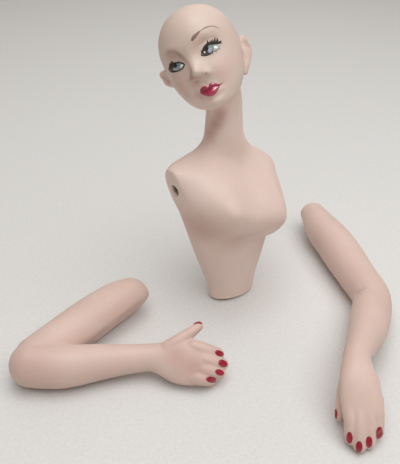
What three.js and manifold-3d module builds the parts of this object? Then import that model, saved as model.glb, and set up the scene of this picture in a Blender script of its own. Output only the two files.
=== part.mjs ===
// A half doll of flesh-coloured bisque: a hollow bust cast in one piece with its bald head,
// and two loose arms that lie beside it, each with a flat face that goes on its shoulder.
// Millimetres, +Z up. The bust faces -Y and stands on its waist rim at z = 0.
import * as THREE from "three";
import { mergeVertices } from "three/addons/utils/BufferGeometryUtils.js";
import Module from "manifold-3d";

const wasm = await Module();
wasm.setup();

// Sizes of the bust
const WALL = 2.4;
const SHOULDER_HEIGHT = 49;
const SHOULDER_WIDTH = 46.4;
const JOINT_DROP = 2.4;
const JOINT_SET_BACK = 4.2;
const JOINT_FACE_LEAN = 5;
const SHOULDER_TILT = 11;
const STRING_HOLE = 4.4;
const BREAST_DEPTH = 11;
const BREAST_RADIUS = 13.4;
const BREAST_RISE = 17;
const BREAST_FALL = 13.4;
const BREAST_SPACING = 23.6;
const BREAST_BELOW = 5.8;
const BREAST_DROP = 2;
const BREAST_JOIN = 0.7;
const BREAST_BLUNT = 0.3;
const RIM_ARCH_HEIGHT = 2.4;
const RIM_ARCH_RADIUS = 13;

// Where the neck turns and the head sits above the shoulder line, and how the head is turned, in degrees
const NECK_START = 9;
const NECK_END = 31;
const HEAD_RISE = 44.2;
const HEAD_SWAY = -6.3;
const HEAD_SET_BACK = 9.6;
const HEAD_TURN = 47;
const HEAD_TILT = 27;
const HEAD_NOD = 13;
const NOSE_HEIGHT = 4;
const EAR_WIDTH = 4.6;
const EAR_THICKNESS = 2.2;
const EAR_REACH = 15.6;
const EAR_UNEVEN = 0.9;

// Sections of the torso from the waist rim to the shoulder line, and from there to the root of the neck:
// [share of the shoulder height, half width, depth in front, depth behind, sway, set back, tilt in degrees]
const WAIST = [
  [0, 9.9, 5.8, 6.8, 1.2, 0.3, 0],
  [0.143, 11, 6.8, 7.2, 1, 0.7, 2],
  [0.327, 14.2, 8.6, 8.4, 0.7, 1.4, 6],
  [0.531, 17.8, 10, 9.6, 0.5, 2.4, 11],
  [0.714, 21, 10.8, 10.8, 0.2, 3.4, 15],
  [0.867, 24.4, 10.4, 11.2, 0, 4.2, 15],
  [1, 26, 9.2, 10.8, 0, 5, 12.5],
];
// [height above the shoulder line, and the same sizes]
const SHOULDERS = [
  [5, 24, 7.8, 9.6, 0, 5.4, 10],
  [8, 18.6, 6.8, 8.4, 0, 5.6, 8],
  [11, 12, 6, 7.4, 0, 5.6, 5],
  [15.3, 8, 5.6, 6.2, -0.3, 5.4, 2],
  [21, 6.9, 5.4, 5.6, -0.5, 5.2, 0],
];
const TORSO = [
  ...WAIST.map(([share, ...sizes]) => [share * SHOULDER_HEIGHT, ...sizes]),
  ...SHOULDERS.map(([up, ...sizes]) => [SHOULDER_HEIGHT + up, ...sizes]),
];

// Sections of the head about its own middle, from the top of the neck to the crown:
// [height, half width, depth in front, depth behind, set forward, droop of the front]
const HEAD = [
  [-15.5, 6.6, 5.5, 5.6, -3.6, 0.25],
  [-13, 6.7, 7.8, 6.6, -2.4, 0.36],
  [-11.4, 9, 11.9, 8.4, -0.8, 0.4],
  [-8.6, 11, 13.6, 10.8, 0, 0.37],
  [-5, 12.4, 14, 13, 0, 0.27],
  [-1.6, 12.9, 14.2, 14.6, 0, 0.16],
  [2, 13.1, 14.1, 15.2, 0, 0.06],
  [6, 12.7, 13.7, 15, 0, 0],
  [10, 11.3, 12.2, 13.4, 0, -0.02],
  [13.4, 8.6, 9.2, 10.2, 0, -0.04],
  [15.4, 5.6, 6, 6.6, 0, -0.04],
  [16.4, 2.4, 2.6, 2.8, 0, 0],
];

// How the pieces lie: the table's front edge is turned from the bust's front by this angle
const TABLE_TURN = 38;

// Sizes of the arms, and where their shoulder ends lie on the table
const UPPER_ARM = 15.6;
const ELBOW = 15;
const FOREARM = 14.6;
const WRIST = 9.4;
const HAND_WIDTH = 14.4;
const HAND_THICKNESS = 6.6;
const FINGER_ROOT = 5;
const FINGER_TIP = 4.2;
const THUMB_ROOT = 6;
const THUMB_TIP = 3;
const RIGHT_SHOULDER_AT = [-37.4, -13.4];
const RIGHT_UPPER_LENGTH = 43.9;
const RIGHT_UPPER_HEADING = -131;
const RIGHT_FORE_LENGTH = 39.6;
const RIGHT_FORE_HEADING = 5;
const LEFT_SHOULDER_AT = [39.5, 45.4];
const LEFT_UPPER_LENGTH = 60.1;
const LEFT_UPPER_HEADING = -77.5;
const LEFT_FORE_LENGTH = 41.1;
const LEFT_FORE_HEADING = -110;

const turn = (degrees) => THREE.MathUtils.degToRad(degrees);
const point = (values) => new THREE.Vector3(...values);
const ease = (low, high, value) => THREE.MathUtils.smoothstep(value, low, high);
const fade = (low, high, value) => 1 - ease(low, high, value);
const hill = (x, y, wide, tall) => Math.exp(-((x / wide) ** 2) - (y / tall) ** 2);

// A value list read smoothly between the rows of a table
function between(rows, place) {
  const last = rows.length - 1;
  const row = Math.min(Math.floor(place), last - 1);
  const part = place - row;
  const before = rows[Math.max(row - 1, 0)];
  const after = rows[Math.min(row + 2, last)];
  return rows[row].map((here, k) => {
    const next = rows[row + 1][k];
    const leave = (next - before[k]) / 2;
    const arrive = (after[k] - here) / 2;
    const bend = 2 * here - 2 * next + leave + arrive;
    const rise = 3 * (next - here) - 2 * leave - arrive;
    return ((bend * part + rise) * part + leave) * part + here;
  });
}

// Rings of points skinned into one closed surface that faces out
function skin(rings) {
  const around = rings[0].length;
  const centre = (ring) => ring.reduce((sum, p) => sum.add(p), new THREE.Vector3()).divideScalar(around);
  const points = [...rings.flat(), centre(rings[0]), centre(rings[rings.length - 1])];
  const foot = points.length - 2;
  const top = points.length - 1;
  const upper = (rings.length - 1) * around;
  const faces = [];
  for (let j = 0; j < around; j += 1) {
    const k = (j + 1) % around;
    for (let i = 0; i < upper; i += around) {
      faces.push(i + j, i + k, i + around + k);
      faces.push(i + j, i + around + k, i + around + j);
    }
    faces.push(foot, k, j);
    faces.push(top, upper + j, upper + k);
  }
  const surface = new THREE.BufferGeometry().setFromPoints(points);
  surface.setIndex(faces);
  return surface;
}

function solid(geometry) {
  const plain = geometry.clone();
  plain.deleteAttribute("normal");
  plain.deleteAttribute("uv");
  const welded = mergeVertices(plain, 1e-4);
  const mesh = new wasm.Mesh({
    numProp: 3,
    vertProperties: new Float32Array(welded.attributes.position.array),
    triVerts: new Uint32Array(welded.index.array),
  });
  return new wasm.Manifold(mesh);
}

function piece(body, name, material) {
  const mesh = body.getMesh();
  const geometry = new THREE.BufferGeometry();
  geometry.setAttribute("position", new THREE.BufferAttribute(new Float32Array(mesh.vertProperties), 3));
  geometry.setIndex(new THREE.BufferAttribute(new Uint32Array(mesh.triVerts), 1));
  geometry.computeVertexNormals();
  const node = new THREE.Mesh(geometry, material);
  node.name = name;
  return node;
}

// A straight round cutter from one point to another
function rod(from, to, diameter, around = 20) {
  const axis = to.clone().sub(from);
  const shape = new THREE.CylinderGeometry(diameter / 2, diameter / 2, axis.length(), around);
  const upright = new THREE.Vector3(0, 1, 0);
  shape.applyQuaternion(new THREE.Quaternion().setFromUnitVectors(upright, axis.clone().normalize()));
  shape.translate(...from.clone().add(to).divideScalar(2).toArray());
  return solid(shape);
}

// A thick slab whose near side is a plane through a point, for cutting a flat face
function slab(through, outward, size) {
  const shape = new THREE.BoxGeometry(size, size, size);
  shape.translate(0, 0, size / 2);
  shape.applyQuaternion(new THREE.Quaternion().setFromUnitVectors(new THREE.Vector3(0, 0, 1), outward));
  shape.translate(...through.toArray());
  return solid(shape);
}

// The bust's outer skin: level sections up the torso, then the head's own sections
const headSpin = new THREE.Quaternion().setFromEuler(
  new THREE.Euler(turn(-HEAD_NOD), turn(-HEAD_TILT), turn(-HEAD_TURN), "ZXY"),
);
const headMiddle = point([HEAD_SWAY, HEAD_SET_BACK, SHOULDER_HEIGHT + HEAD_RISE]);
const inHead = (x, forward, up) => point([x, -forward, up]).applyQuaternion(headSpin).add(headMiddle);
const tiltBy = (degrees) => new THREE.Quaternion().setFromAxisAngle(point([0, 1, 0]), turn(degrees));

// The sections of the neck turn little by little from the torso's way to the head's
const follow = (tilt, up) => tiltBy(tilt).slerp(headSpin, 0.9 * ease(NECK_START, NECK_END, up - SHOULDER_HEIGHT));

function section(centre, spin, half, front, back, droop) {
  return [...centre.toArray(), ...spin.toArray(), half, front, back, droop];
}

const bustRows = [
  ...TORSO.map(([up, half, front, back, sway, set, tilt]) =>
    section(new THREE.Vector3(sway, set, up), follow(tilt, up), half, front, back, 0)),
  ...HEAD.map(([up, half, front, back, set, droop]) =>
    section(inHead(0, set, up), headSpin, half, front, back, droop)),
];

// Blunt cones, full below and sloping above, with a shallow dip between them;
// the left breast sits a little lower, as the left shoulder drops
function breast(x, up) {
  const middle = SHOULDER_HEIGHT - BREAST_BELOW;
  const mound = (aside, rise) => {
    const wide = aside > 0 ? BREAST_RADIUS : BREAST_RADIUS / BREAST_JOIN;
    const tall = rise > 0 ? BREAST_RISE : BREAST_FALL;
    const reach = Math.hypot(aside / wide, rise / tall);
    const foot = Math.hypot(1, BREAST_BLUNT);
    const cone = (foot - Math.hypot(reach, BREAST_BLUNT)) / (foot - BREAST_BLUNT);
    const soft = (cone + Math.hypot(cone, 0.06)) / 2;
    return soft ** (0.82 + 0.2 * Math.tanh(rise / 6));
  };
  const left = mound(x - BREAST_SPACING / 2, up - middle + BREAST_DROP);
  const right = mound(-x - BREAST_SPACING / 2, up - middle);
  return BREAST_DEPTH * Math.hypot(left, right);
}

function face(x, up) {
  const along = fade(-5.5, 4.5, up);
  const ridge = up > -5.5 ? along : Math.exp(-(((up + 5.5) / 1.4) ** 2));
  const nose = NOSE_HEIGHT * (0.12 + 0.88 * along) * ridge * hill(x, 0, 1.5 + 1.1 * along, 1);
  const sockets = hill(x - 5.6, up - 0.6, 3.4, 2.6) + hill(x + 5.6, up - 0.6, 3.4, 2.6);
  const cheeks = hill(x - 7.5, up + 5.5, 4, 3.6) + hill(x + 7.5, up + 5.5, 4, 3.6);
  const lips = hill(x, up + 9.3, 3.6, 2);
  const chin = hill(x, up + 14.2, 3.2, 2.2);
  return nose - 1.7 * sockets + 0.7 * cheeks + 0.9 * lips + 1.1 * chin;
}

// How far out the flat joint faces stand at a height
function jointReach(up) {
  const middle = SHOULDER_HEIGHT - JOINT_DROP;
  return SHOULDER_WIDTH / 2 + (up - middle) * Math.tan(turn(JOINT_FACE_LEAN));
}

function bustRing(place, around, inset) {
  const row = between(bustRows, place);
  const centre = point(row.slice(0, 3));
  const spin = new THREE.Quaternion(...row.slice(3, 7)).normalize();
  const [half, front, back, droop] = row.slice(7);
  const headness = ease(TORSO.length, TORSO.length + 2, place);
  const shrink = inset * (1 + 0.4 * headness);
  const ring = [];
  for (let k = 0; k < around; k += 1) {
    const even = (2 * Math.PI * k) / around;
    const angle = even - 0.35 * Math.sin(even);
    const deep = Math.cos(angle) > 0 ? front : back;
    const forward = (deep - shrink) * Math.cos(angle);
    const limit = inset > 0 && place < TORSO.length ? jointReach(centre.z) - inset : half;
    const across = THREE.MathUtils.clamp((half - shrink) * Math.sin(angle), -limit, limit);
    const spot = new THREE.Vector3(across, -forward, -droop * forward).applyQuaternion(spin).add(centre);
    const bare = ease(0, 5, forward);
    if (place < TORSO.length) {
      spot.y -= breast(across, centre.z) * bare;
    }
    if (headness > 0 && inset === 0) {
      const own = spot.clone().sub(headMiddle).applyQuaternion(headSpin.clone().invert());
      own.y -= face(own.x, own.z) * bare * headness;
      spot.copy(own.applyQuaternion(headSpin).add(headMiddle));
    }
    ring.push(spot);
  }
  return ring;
}

function bustSkin(from, to, rings, around, inset) {
  const made = [];
  for (let i = 0; i <= rings; i += 1) {
    made.push(bustRing(from + ((to - from) * i) / rings, around, inset));
  }
  return skin(made);
}

// A leaf-shaped ear, from the lobe on the cheek to a slightly pointed outer tip; the left one is longer
const RIGHT_EAR = [
  [10.6, 0.8, -5.2, 0.5, 0.9],
  [12.1, 0.2, -3.9, 0.85, 1],
  [13.6, -0.8, -2, 0.9, 0.92],
  [EAR_REACH - 0.7, -2, 0.3, 0.4, 0.6],
];
const LEFT_EAR = [
  [11.6, 0.9, -10, 0.5, 0.9],
  [13.1, 0.2, -6.8, 0.9, 1],
  [14.4, -0.8, -3.2, 1.1, 0.92],
  [EAR_REACH - 0.5, -2, 0.2, 0.5, 0.6],
];

function ear(side, sections) {
  const rows = sections.map(([out, forward, up, wide, thick]) => [
    ...inHead(side * out - EAR_UNEVEN, forward, up).toArray(),
    (wide * EAR_WIDTH) / 2,
    (thick * EAR_THICKNESS) / 2,
  ]);
  const faces = new THREE.Vector3(side * 0.55, -0.83, 0).applyQuaternion(headSpin);
  return limb(rows, faces, 6, 10);
}

function makeBust(material) {
  let body = solid(bustSkin(0, bustRows.length - 1, 60, 48, 0));
  body = body.add(ear(-1, RIGHT_EAR)).add(ear(1, LEFT_EAR));
  const hollow = bustSkin(0, bustRows.length - 3, 28, 18, WALL);
  hollow.translate(0, 0, -0.01);
  body = body.subtract(solid(hollow));
  for (const side of [-1, 1]) {
    const lean = turn(JOINT_FACE_LEAN);
    const tilt = tiltBy(SHOULDER_TILT);
    const outward = new THREE.Vector3(side * Math.cos(lean), 0, -Math.sin(lean));
    const seat = new THREE.Vector3((side * SHOULDER_WIDTH) / 2, 0, 0).applyQuaternion(tilt);
    seat.add(new THREE.Vector3(0, JOINT_SET_BACK, SHOULDER_HEIGHT - JOINT_DROP));
    body = body.subtract(slab(seat, outward, SHOULDER_WIDTH));
    const inner = seat.clone().addScaledVector(outward, -3 * WALL);
    body = body.subtract(rod(inner, seat.clone().add(outward), STRING_HOLE));
  }
  const archFrom = new THREE.Vector3(0, 0, RIM_ARCH_HEIGHT - RIM_ARCH_RADIUS);
  const archTo = archFrom.clone().add(new THREE.Vector3(5, -14, 0));
  body = body.subtract(rod(archFrom, archTo, 2 * RIM_ARCH_RADIUS, 48));
  return piece(body, "bust", material);
}

// Limbs: a smooth line of round or flattened sections
// Each row: [x, y, z, half width, half thickness], with the direction the back faces
function limb(rows, back, rings, around) {
  const last = rows.length - 1;
  const stations = rows.map((row) => point(row.slice(0, 3)));
  const spine = new THREE.CatmullRomCurve3(stations, false, "catmullrom", 0.5);
  const made = [];
  const cap = 3;
  for (let i = -cap; i <= rings + cap; i += 1) {
    const along = THREE.MathUtils.clamp(i / rings, 0, 1);
    const over = Math.max(-i, i - rings, 0) / (cap + 0.35);
    const row = between(rows, along * last);
    const ahead = spine.getTangent(along);
    const facing = Array.isArray(back) ? point(between(back, along * last)) : back;
    const side = facing.clone().cross(ahead).normalize();
    const out = ahead.clone().cross(side).normalize();
    const round = Math.cos((over * Math.PI) / 2);
    const push = Math.sin((over * Math.PI) / 2) * Math.sign(i);
    const middle = point(row.slice(0, 3)).addScaledVector(ahead, push * Math.min(row[3], row[4]));
    const ring = [];
    for (let k = 0; k < around; k += 1) {
      const angle = (2 * Math.PI * k) / around;
      const spot = middle.clone();
      spot.addScaledVector(side, row[3] * round * Math.cos(angle));
      spot.addScaledVector(out, row[4] * round * Math.sin(angle));
      ring.push(spot);
    }
    made.push(ring);
  }
  return solid(skin(made));
}

// A finger or thumb: a bowed line from its root in the hand to its tip
function digit(root, tip, back, bow, rootSize, tipSize) {
  const rows = [0, 0.34, 0.68, 1].map((share) => {
    const spot = point(root).lerp(point(tip), share);
    spot.addScaledVector(back, bow * Math.sin(Math.PI * share));
    const half = THREE.MathUtils.lerp(rootSize, tipSize, share) / 2;
    return [...spot.toArray(), half, half];
  });
  return limb(rows, back, 4, 9);
}

// Cuts a limb flat on one side of its shoulder end
const flatten = (body, seat, outward) => body.subtract(slab(seat, outward, 2 * UPPER_ARM));

// Lays an arm down on the table
function finishArm(body, name, skinMaterial) {
  const node = piece(body, name, skinMaterial);
  node.geometry.computeBoundingBox();
  node.geometry.translate(0, 0, -node.geometry.boundingBox.min.z);
  return node;
}

const flesh = { color: 0xdcc0b4, roughness: 0.6, metalness: 0 };
const bisque = (name) => new THREE.MeshStandardMaterial({ name, ...flesh });
const half = (size) => size / 2;

// Rows along a straight line on the table: [share of the length, aside, height, half width, half thickness]
function laid(start, heading, length, rows) {
  const [c, d] = [Math.cos(turn(heading)), Math.sin(turn(heading))];
  return rows.map(([share, aside, ...rest]) => [
    start[0] + c * share * length - d * aside,
    start[1] + d * share * length + c * aside,
    ...rest,
  ]);
}

// Places on the table given from another place
const from = (place, offsets) => offsets.map(([x, y, ...rest]) => [place[0] + x, place[1] + y, ...rest]);

// The right arm lies on the table, sharply bent, the hand resting on its little finger
function makeRightArm() {
  const up = new THREE.Vector3(0, 0, 1);
  const back = new THREE.Vector3(0.05, -0.68, 0.73).normalize();
  const upperRows = laid(RIGHT_SHOULDER_AT, RIGHT_UPPER_HEADING, RIGHT_UPPER_LENGTH, [
    [0.03, 0.5, 8.2, half(UPPER_ARM) - 0.6, half(UPPER_ARM) - 0.2],
    [0.167, -0.6, 8.2, half(UPPER_ARM) + 0.6, half(UPPER_ARM)],
    [0.471, -0.8, 8, half(UPPER_ARM) + 0.8, half(UPPER_ARM)],
    [1, 0, 7.8, half(ELBOW) * 0.94, half(ELBOW)],
  ]);
  const [elbow] = from(upperRows[3], [[-0.6, -2.9]]);
  const foreRows = laid(elbow, RIGHT_FORE_HEADING, RIGHT_FORE_LENGTH, [
    [0, 0, 7.6, half(ELBOW), half(ELBOW)],
    [0.25, -1.7, 7.5, half(FOREARM) * 0.97, half(FOREARM) * 0.97],
    [0.546, -0.4, 7.2, half(FOREARM) * 0.82, half(FOREARM) * 0.82],
    [0.781, 0.4, 7, half(WRIST) * 1.06, half(WRIST) * 1.06],
    [1, 0, 7.4, half(WRIST), half(WRIST) * 0.88],
  ]);
  const wrist = foreRows[4];
  const palmRows = from(wrist, [
    [8.2, -2.2, 7.8, half(HAND_WIDTH) * 0.98, half(HAND_THICKNESS)],
    [13.9, -3.2, 7.4, half(HAND_WIDTH) * 0.98, half(HAND_THICKNESS) * 0.8],
  ]);
  const hand = back.toArray();
  const turned = [[0, 0, 1], [0, 0, 1], [0, -0.2, 1], [0, -0.6, 1], hand, hand, hand];
  const [seatAt] = from(RIGHT_SHOULDER_AT, [[-2.3, -10.2, 6]]);
  const seat = point(seatAt);
  const outward = new THREE.Vector3(0.76, -0.58, -0.28).normalize();
  const upper = flatten(limb(upperRows, up, 9, 20), seat, outward);
  const fore = limb([...foreRows, ...palmRows], turned, 22, 20);
  const tips = from(wrist, [[21.5, 0.8, 8.3], [22.9, -1.9, 6.3], [21.8, -4.3, 4.6], [18.7, -5.9, 3]]);
  const roots = from(wrist, [[13.3, 1, 11.2], [13.7, -1.4, 9], [13.5, -3.8, 6.7], [12.9, -6.2, 4.6]]);
  let body = upper.add(fore);
  roots.forEach((root, k) => {
    body = body.add(digit(root, tips[k], back, 1.5, FINGER_ROOT, FINGER_TIP));
  });
  const [thumbRoot, thumbTip] = from(wrist, [[4.9, 1.2, 10], [15.1, 6.8, 15]]);
  body = body.add(digit(thumbRoot, thumbTip, back, 0.3, THUMB_ROOT, THUMB_TIP));
  return finishArm(body, "right_arm", bisque("right arm bisque"));
}

// The left arm is nearly straight, its wrist raised and its fingertips on the table
function makeLeftArm() {
  const up = [0, 0, 1];
  const back = new THREE.Vector3(-0.06, -0.5, 0.86).normalize();
  const hand = back.toArray();
  const upperRows = laid(LEFT_SHOULDER_AT, LEFT_UPPER_HEADING, LEFT_UPPER_LENGTH, [
    [0, 0, 8, half(UPPER_ARM) * 0.76, half(UPPER_ARM) * 0.8],
    [0.217, -0.3, 8, half(UPPER_ARM) - 0.2, half(UPPER_ARM)],
    [0.379, 0.6, 8, half(UPPER_ARM) + 0.2, half(UPPER_ARM)],
    [0.566, 0.6, 7.9, half(UPPER_ARM) + 0.2, half(UPPER_ARM)],
    [0.768, 0.4, 7.6, half(UPPER_ARM) * 0.94, half(UPPER_ARM) * 0.94],
    [1, 0, 7.4, half(ELBOW) * 0.93, half(ELBOW) * 0.96],
  ]);
  const foreRows = laid(upperRows[5], LEFT_FORE_HEADING, LEFT_FORE_LENGTH, [
    [0.346, 1.3, 8.8, half(ELBOW) * 0.95, half(ELBOW) * 0.95],
    [0.665, 1.3, 11.2, half(FOREARM) * 0.84, half(FOREARM) * 0.84],
    [1, 0, 14.8, half(WRIST) * 0.94, half(WRIST) * 0.98],
  ]);
  const wrist = foreRows[2];
  const palmRows = from(wrist, [
    [-1.5, -6, 15.4, half(HAND_WIDTH) * 0.67, half(HAND_THICKNESS) * 1.18],
    [-1.9, -11.9, 14, half(HAND_WIDTH) * 0.84, half(HAND_THICKNESS)],
    [-1.8, -18.9, 9.8, half(HAND_WIDTH) * 0.9, half(HAND_THICKNESS) * 0.8],
  ]);
  const rows = [...upperRows, ...foreRows, ...palmRows];
  const [seatAt] = from(LEFT_SHOULDER_AT, [[0.8, -12.3, 4.2]]);
  const seat = point(seatAt);
  const outward = new THREE.Vector3(-0.4, 0.12, -0.9).normalize();
  const turned = [up, up, up, up, up, up, up, up, [0, -0.3, 1], hand, hand, hand];
  const whole = limb(rows, turned, 38, 20);
  const roots = from(wrist, [[-5.2, -15.7, 10.6], [-2.7, -16.7, 10.7], [0, -16.7, 10.7], [2.6, -15.7, 10.5]]);
  const tips = from(wrist, [[-5.3, -23.9, 3.3], [-3.2, -25.9, 2.5], [-0.3, -24.7, 2.6], [2.7, -21.7, 3.4]]);
  let body = flatten(whole, seat, outward);
  roots.forEach((root, k) => {
    body = body.add(digit(root, tips[k], back, 1.1, FINGER_ROOT, FINGER_TIP));
  });
  const [thumbRoot, thumbTip] = from(wrist, [[-3.4, -6.7, 12], [-7.2, -16.1, 3.6]]);
  body = body.add(digit(thumbRoot, thumbTip, point([-1, 0, 0]), 0.5, THUMB_ROOT, THUMB_TIP));
  return finishArm(body, "left_arm", bisque("left arm bisque"));
}

// Everything stands or lies on z = 0, with the middle of the set over the origin
const doll = new THREE.Group();
doll.name = "half_doll";
const laidOut = new THREE.Group();
const table = new THREE.Group();
table.rotation.z = turn(-TABLE_TURN);
table.add(makeRightArm(), makeLeftArm());
laidOut.add(makeBust(bisque("bust bisque")), table);
const extent = new THREE.Box3().setFromObject(laidOut, true);
const middle = extent.getCenter(new THREE.Vector3());
laidOut.position.set(-middle.x, -middle.y, -extent.min.z);
doll.add(laidOut);

export default doll;
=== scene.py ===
# %% [markdown]
# # A bisque half doll
# The object is a bald half doll: a hollow bust that stands on the rim of its waist, and two
# loose arms that lie beside it. It is matte, flesh-coloured bisque with a painted face and red
# nails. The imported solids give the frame: every piece below is made in that frame, worked out
# in millimetres and turned into metres when its mesh is made.

# %% Load the frame
import math

import bpy
import numpy as np
from mathutils import Euler, Matrix, Quaternion, Vector
from mathutils.bvhtree import BVHTree
from mathutils.geometry import delaunay_2d_cdt


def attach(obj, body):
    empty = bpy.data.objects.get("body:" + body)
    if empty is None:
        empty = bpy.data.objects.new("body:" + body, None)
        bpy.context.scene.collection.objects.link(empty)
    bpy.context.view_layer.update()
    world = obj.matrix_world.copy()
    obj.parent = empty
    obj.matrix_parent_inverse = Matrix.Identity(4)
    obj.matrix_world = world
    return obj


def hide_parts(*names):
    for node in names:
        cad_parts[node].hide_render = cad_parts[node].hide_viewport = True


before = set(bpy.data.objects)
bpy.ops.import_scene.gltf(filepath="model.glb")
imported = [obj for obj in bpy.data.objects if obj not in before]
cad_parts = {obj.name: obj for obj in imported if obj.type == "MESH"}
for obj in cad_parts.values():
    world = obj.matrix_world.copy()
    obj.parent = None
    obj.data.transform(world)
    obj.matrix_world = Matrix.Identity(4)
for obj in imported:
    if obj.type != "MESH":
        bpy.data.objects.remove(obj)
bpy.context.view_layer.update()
MM = 0.001  # metres in a millimetre
BUST_AT = np.array([12.76, 30.343, 0.0])  # the foot of the bust

# %% [markdown]
# ## Camera
# The photograph looks down by 32 degrees, and its line of sight is turned 38 degrees from the
# bust's own front. A camera could be placed by eye, but values measured in the picture repeat
# it better: a vertical field of 40 degrees, 256 mm from the foot of the bust. The camera comes
# first because the painted face is later placed by sighting through it.

# %% Camera
SIGHT_TURN = math.radians(38)
LOOK_DOWN = math.radians(32)
FIELD = math.radians(40)
CAMERA_SPOT = -11.8, -203.71, 155.12  # right, away and up from the foot of the bust
HALF_SENSOR = 18  # half the longer side of Blender's usual sensor, in mm


def on_table(right, away, up):
    """A spot measured from the foot of the bust: right and away in the picture, and up."""
    c, s = math.cos(SIGHT_TURN), math.sin(SIGHT_TURN)
    return BUST_AT + np.array([c * right + s * away, c * away - s * right, up])


scene = bpy.context.scene
lens = bpy.data.cameras.new("camera")
lens.lens = HALF_SENSOR / math.tan(FIELD / 2)
camera = bpy.data.objects.new("camera", lens)
camera.location = on_table(*CAMERA_SPOT) * MM
camera.rotation_euler = Euler((math.pi / 2 - LOOK_DOWN, 0, -SIGHT_TURN))
scene.collection.objects.link(camera)
scene.camera = camera
bpy.context.view_layer.update()
print("camera stands at", np.round(np.array(camera.location) / MM, 1).tolist(), "mm")

# %% [markdown]
# ## Tools for lofting
# A casting like this has no flat sides. It could be sculpted by hand, but a stack of sections
# is easier to measure and to mend, with the values of each section read smoothly between the
# rows of a table. The same smooth reading serves the torso, the head and the arms.

# %% Read a table of sections smoothly
def ease(low, high, value):
    """0 below low, 1 above high, and a smooth step between."""
    share = np.clip((value - low) / (high - low), 0, 1)
    return share * share * (3 - 2 * share)


def between(rows, place):
    """The values at any place in a table, on a smooth curve through its rows."""
    rows = np.asarray(rows, float)
    place = np.asarray(place, float)
    last = len(rows) - 1
    row = np.clip(np.floor(place).astype(int), 0, last - 1)
    part = (place - row)[..., None]
    here, after = rows[row], rows[row + 1]
    leave = (after - rows[np.maximum(row - 1, 0)]) / 2
    arrive = (rows[np.minimum(row + 2, last)] - here) / 2
    bend = 2 * here - 2 * after + leave + arrive
    rise = 3 * (after - here) - 2 * leave - arrive
    return ((bend * part + rise) * part + leave) * part + here


def unit(vectors):
    """The same directions with a length of 1."""
    vectors = np.asarray(vectors, float)
    return vectors / np.linalg.norm(vectors, axis=-1, keepdims=True)


def spun(turns, vectors):
    """Vectors turned by quaternions (w, x, y, z), row by row."""
    w, axis = turns[:, :1], turns[:, 1:]
    swing = np.cross(axis, vectors)
    return vectors + 2 * w * swing + 2 * np.cross(axis, swing)


# %% [markdown]
# ## The bust's sections
# The bust is one hollow casting from the waist to the crown. The torso leans so that its
# left shoulder drops, and the head is turned to the doll's right, tilted and lowered a
# little. Torso and head could be two meshes joined at the neck, but one stack of sections
# needs no seam. The torso's rows lie level or slightly tilted, the head's in a turned frame.

# %% Sections of torso and head
TORSO = [  # height, half width, depth in front, depth behind, sway, set back, tilt
    [0, 9.9, 5.8, 6.8, 1.2, 0.3, 0], [7, 11, 6.8, 7.2, 1, 0.7, 2],
    [16, 14.2, 8.6, 8.4, 0.7, 1.4, 6], [26, 17.8, 10, 9.6, 0.5, 2.4, 11],
    [35, 21, 10.8, 10.8, 0.2, 3.4, 15], [42.5, 24.4, 10.4, 11.2, 0, 4.2, 15],
    [49, 26, 9.2, 10.8, 0, 5, 12.5], [54, 24, 7.8, 9.6, 0, 5.4, 10],
    [57, 18.6, 6.8, 8.4, 0, 5.6, 8], [60, 12, 6, 7.4, 0, 5.6, 5],
    [64.3, 8, 5.6, 6.2, -0.3, 5.4, 2], [70, 6.9, 5.4, 5.6, -0.5, 5.2, 0],
]
HEAD = [  # height, half width, depth in front, depth behind, set forward, droop of the front
    [-15.5, 6.6, 5.5, 5.6, -3.6, 0.25], [-13, 6.7, 7.8, 6.6, -2.4, 0.36],
    [-11.4, 9, 11.9, 8.4, -0.8, 0.4], [-8.6, 11, 13.6, 10.8, 0, 0.37],
    [-5, 12.4, 14, 13, 0, 0.27], [-1.6, 12.9, 14.2, 14.6, 0, 0.16],
    [2, 13.1, 14.1, 15.2, 0, 0.06], [6, 12.7, 13.7, 15, 0, 0],
    [10, 11.3, 12.2, 13.4, 0, -0.02], [13.4, 8.6, 9.2, 10.2, 0, -0.04],
    [15.4, 5.6, 6, 6.6, 0, -0.04], [16.4, 2.4, 2.6, 2.8, 0, 0], [16.65, 0.1, 0.1, 0.1, 0, 0],
]
NECK_ROW = len(TORSO)
NECK_TURN = 0.9  # share of the head's turn that the neck takes up
NECK_LOW, NECK_HIGH = 58, 80  # heights between which it takes it up
HEAD_MIDDLE = np.array([-6.3, 9.6, 93.2])
HEAD_SIDEWAYS, HEAD_NOD, HEAD_TILT = -47, -13, -27  # degrees
head_turn = (
    Matrix.Rotation(math.radians(HEAD_SIDEWAYS), 3, "Z")
    @ Matrix.Rotation(math.radians(HEAD_NOD), 3, "X")
    @ Matrix.Rotation(math.radians(HEAD_TILT), 3, "Y")
)
HEAD_SPIN = np.array(head_turn)


def in_head(x, forward, up):
    """Turns a spot of the head's own frame into the bust's frame."""
    return np.stack([x, -np.asarray(forward), up], axis=-1) @ HEAD_SPIN.T + HEAD_MIDDLE


def bust_rows():
    """Each row: middle of the section, its turn as a quaternion, three sizes and the droop."""
    rows = []
    whole_turn = head_turn.to_quaternion()
    for up, half, front, back, sway, set_back, tilt in TORSO:
        turn = Quaternion((0, 1, 0), math.radians(tilt))
        turn = turn.slerp(whole_turn, NECK_TURN * float(ease(NECK_LOW, NECK_HIGH, up)))
        rows.append([sway, set_back, up, *turn, half, front, back, 0])
    for up, half, front, back, forward, droop in HEAD:
        middle = in_head(0, forward, up)
        rows.append([*middle, *whole_turn, half, front, back, droop])
    return np.array(rows)


BUST_ROWS = bust_rows()
print(len(BUST_ROWS), "sections from waist to crown")

# %% [markdown]
# ## Breasts and shoulder faces
# These are changes to the smooth stack of sections. The breasts could be bodies of their own,
# but raising the chest along one direction keeps its skin in one piece. A shoulder's joint
# face is flat with a soft edge, as the maker rubs it, so points that would stand outside its
# plane are eased back onto it.

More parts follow.
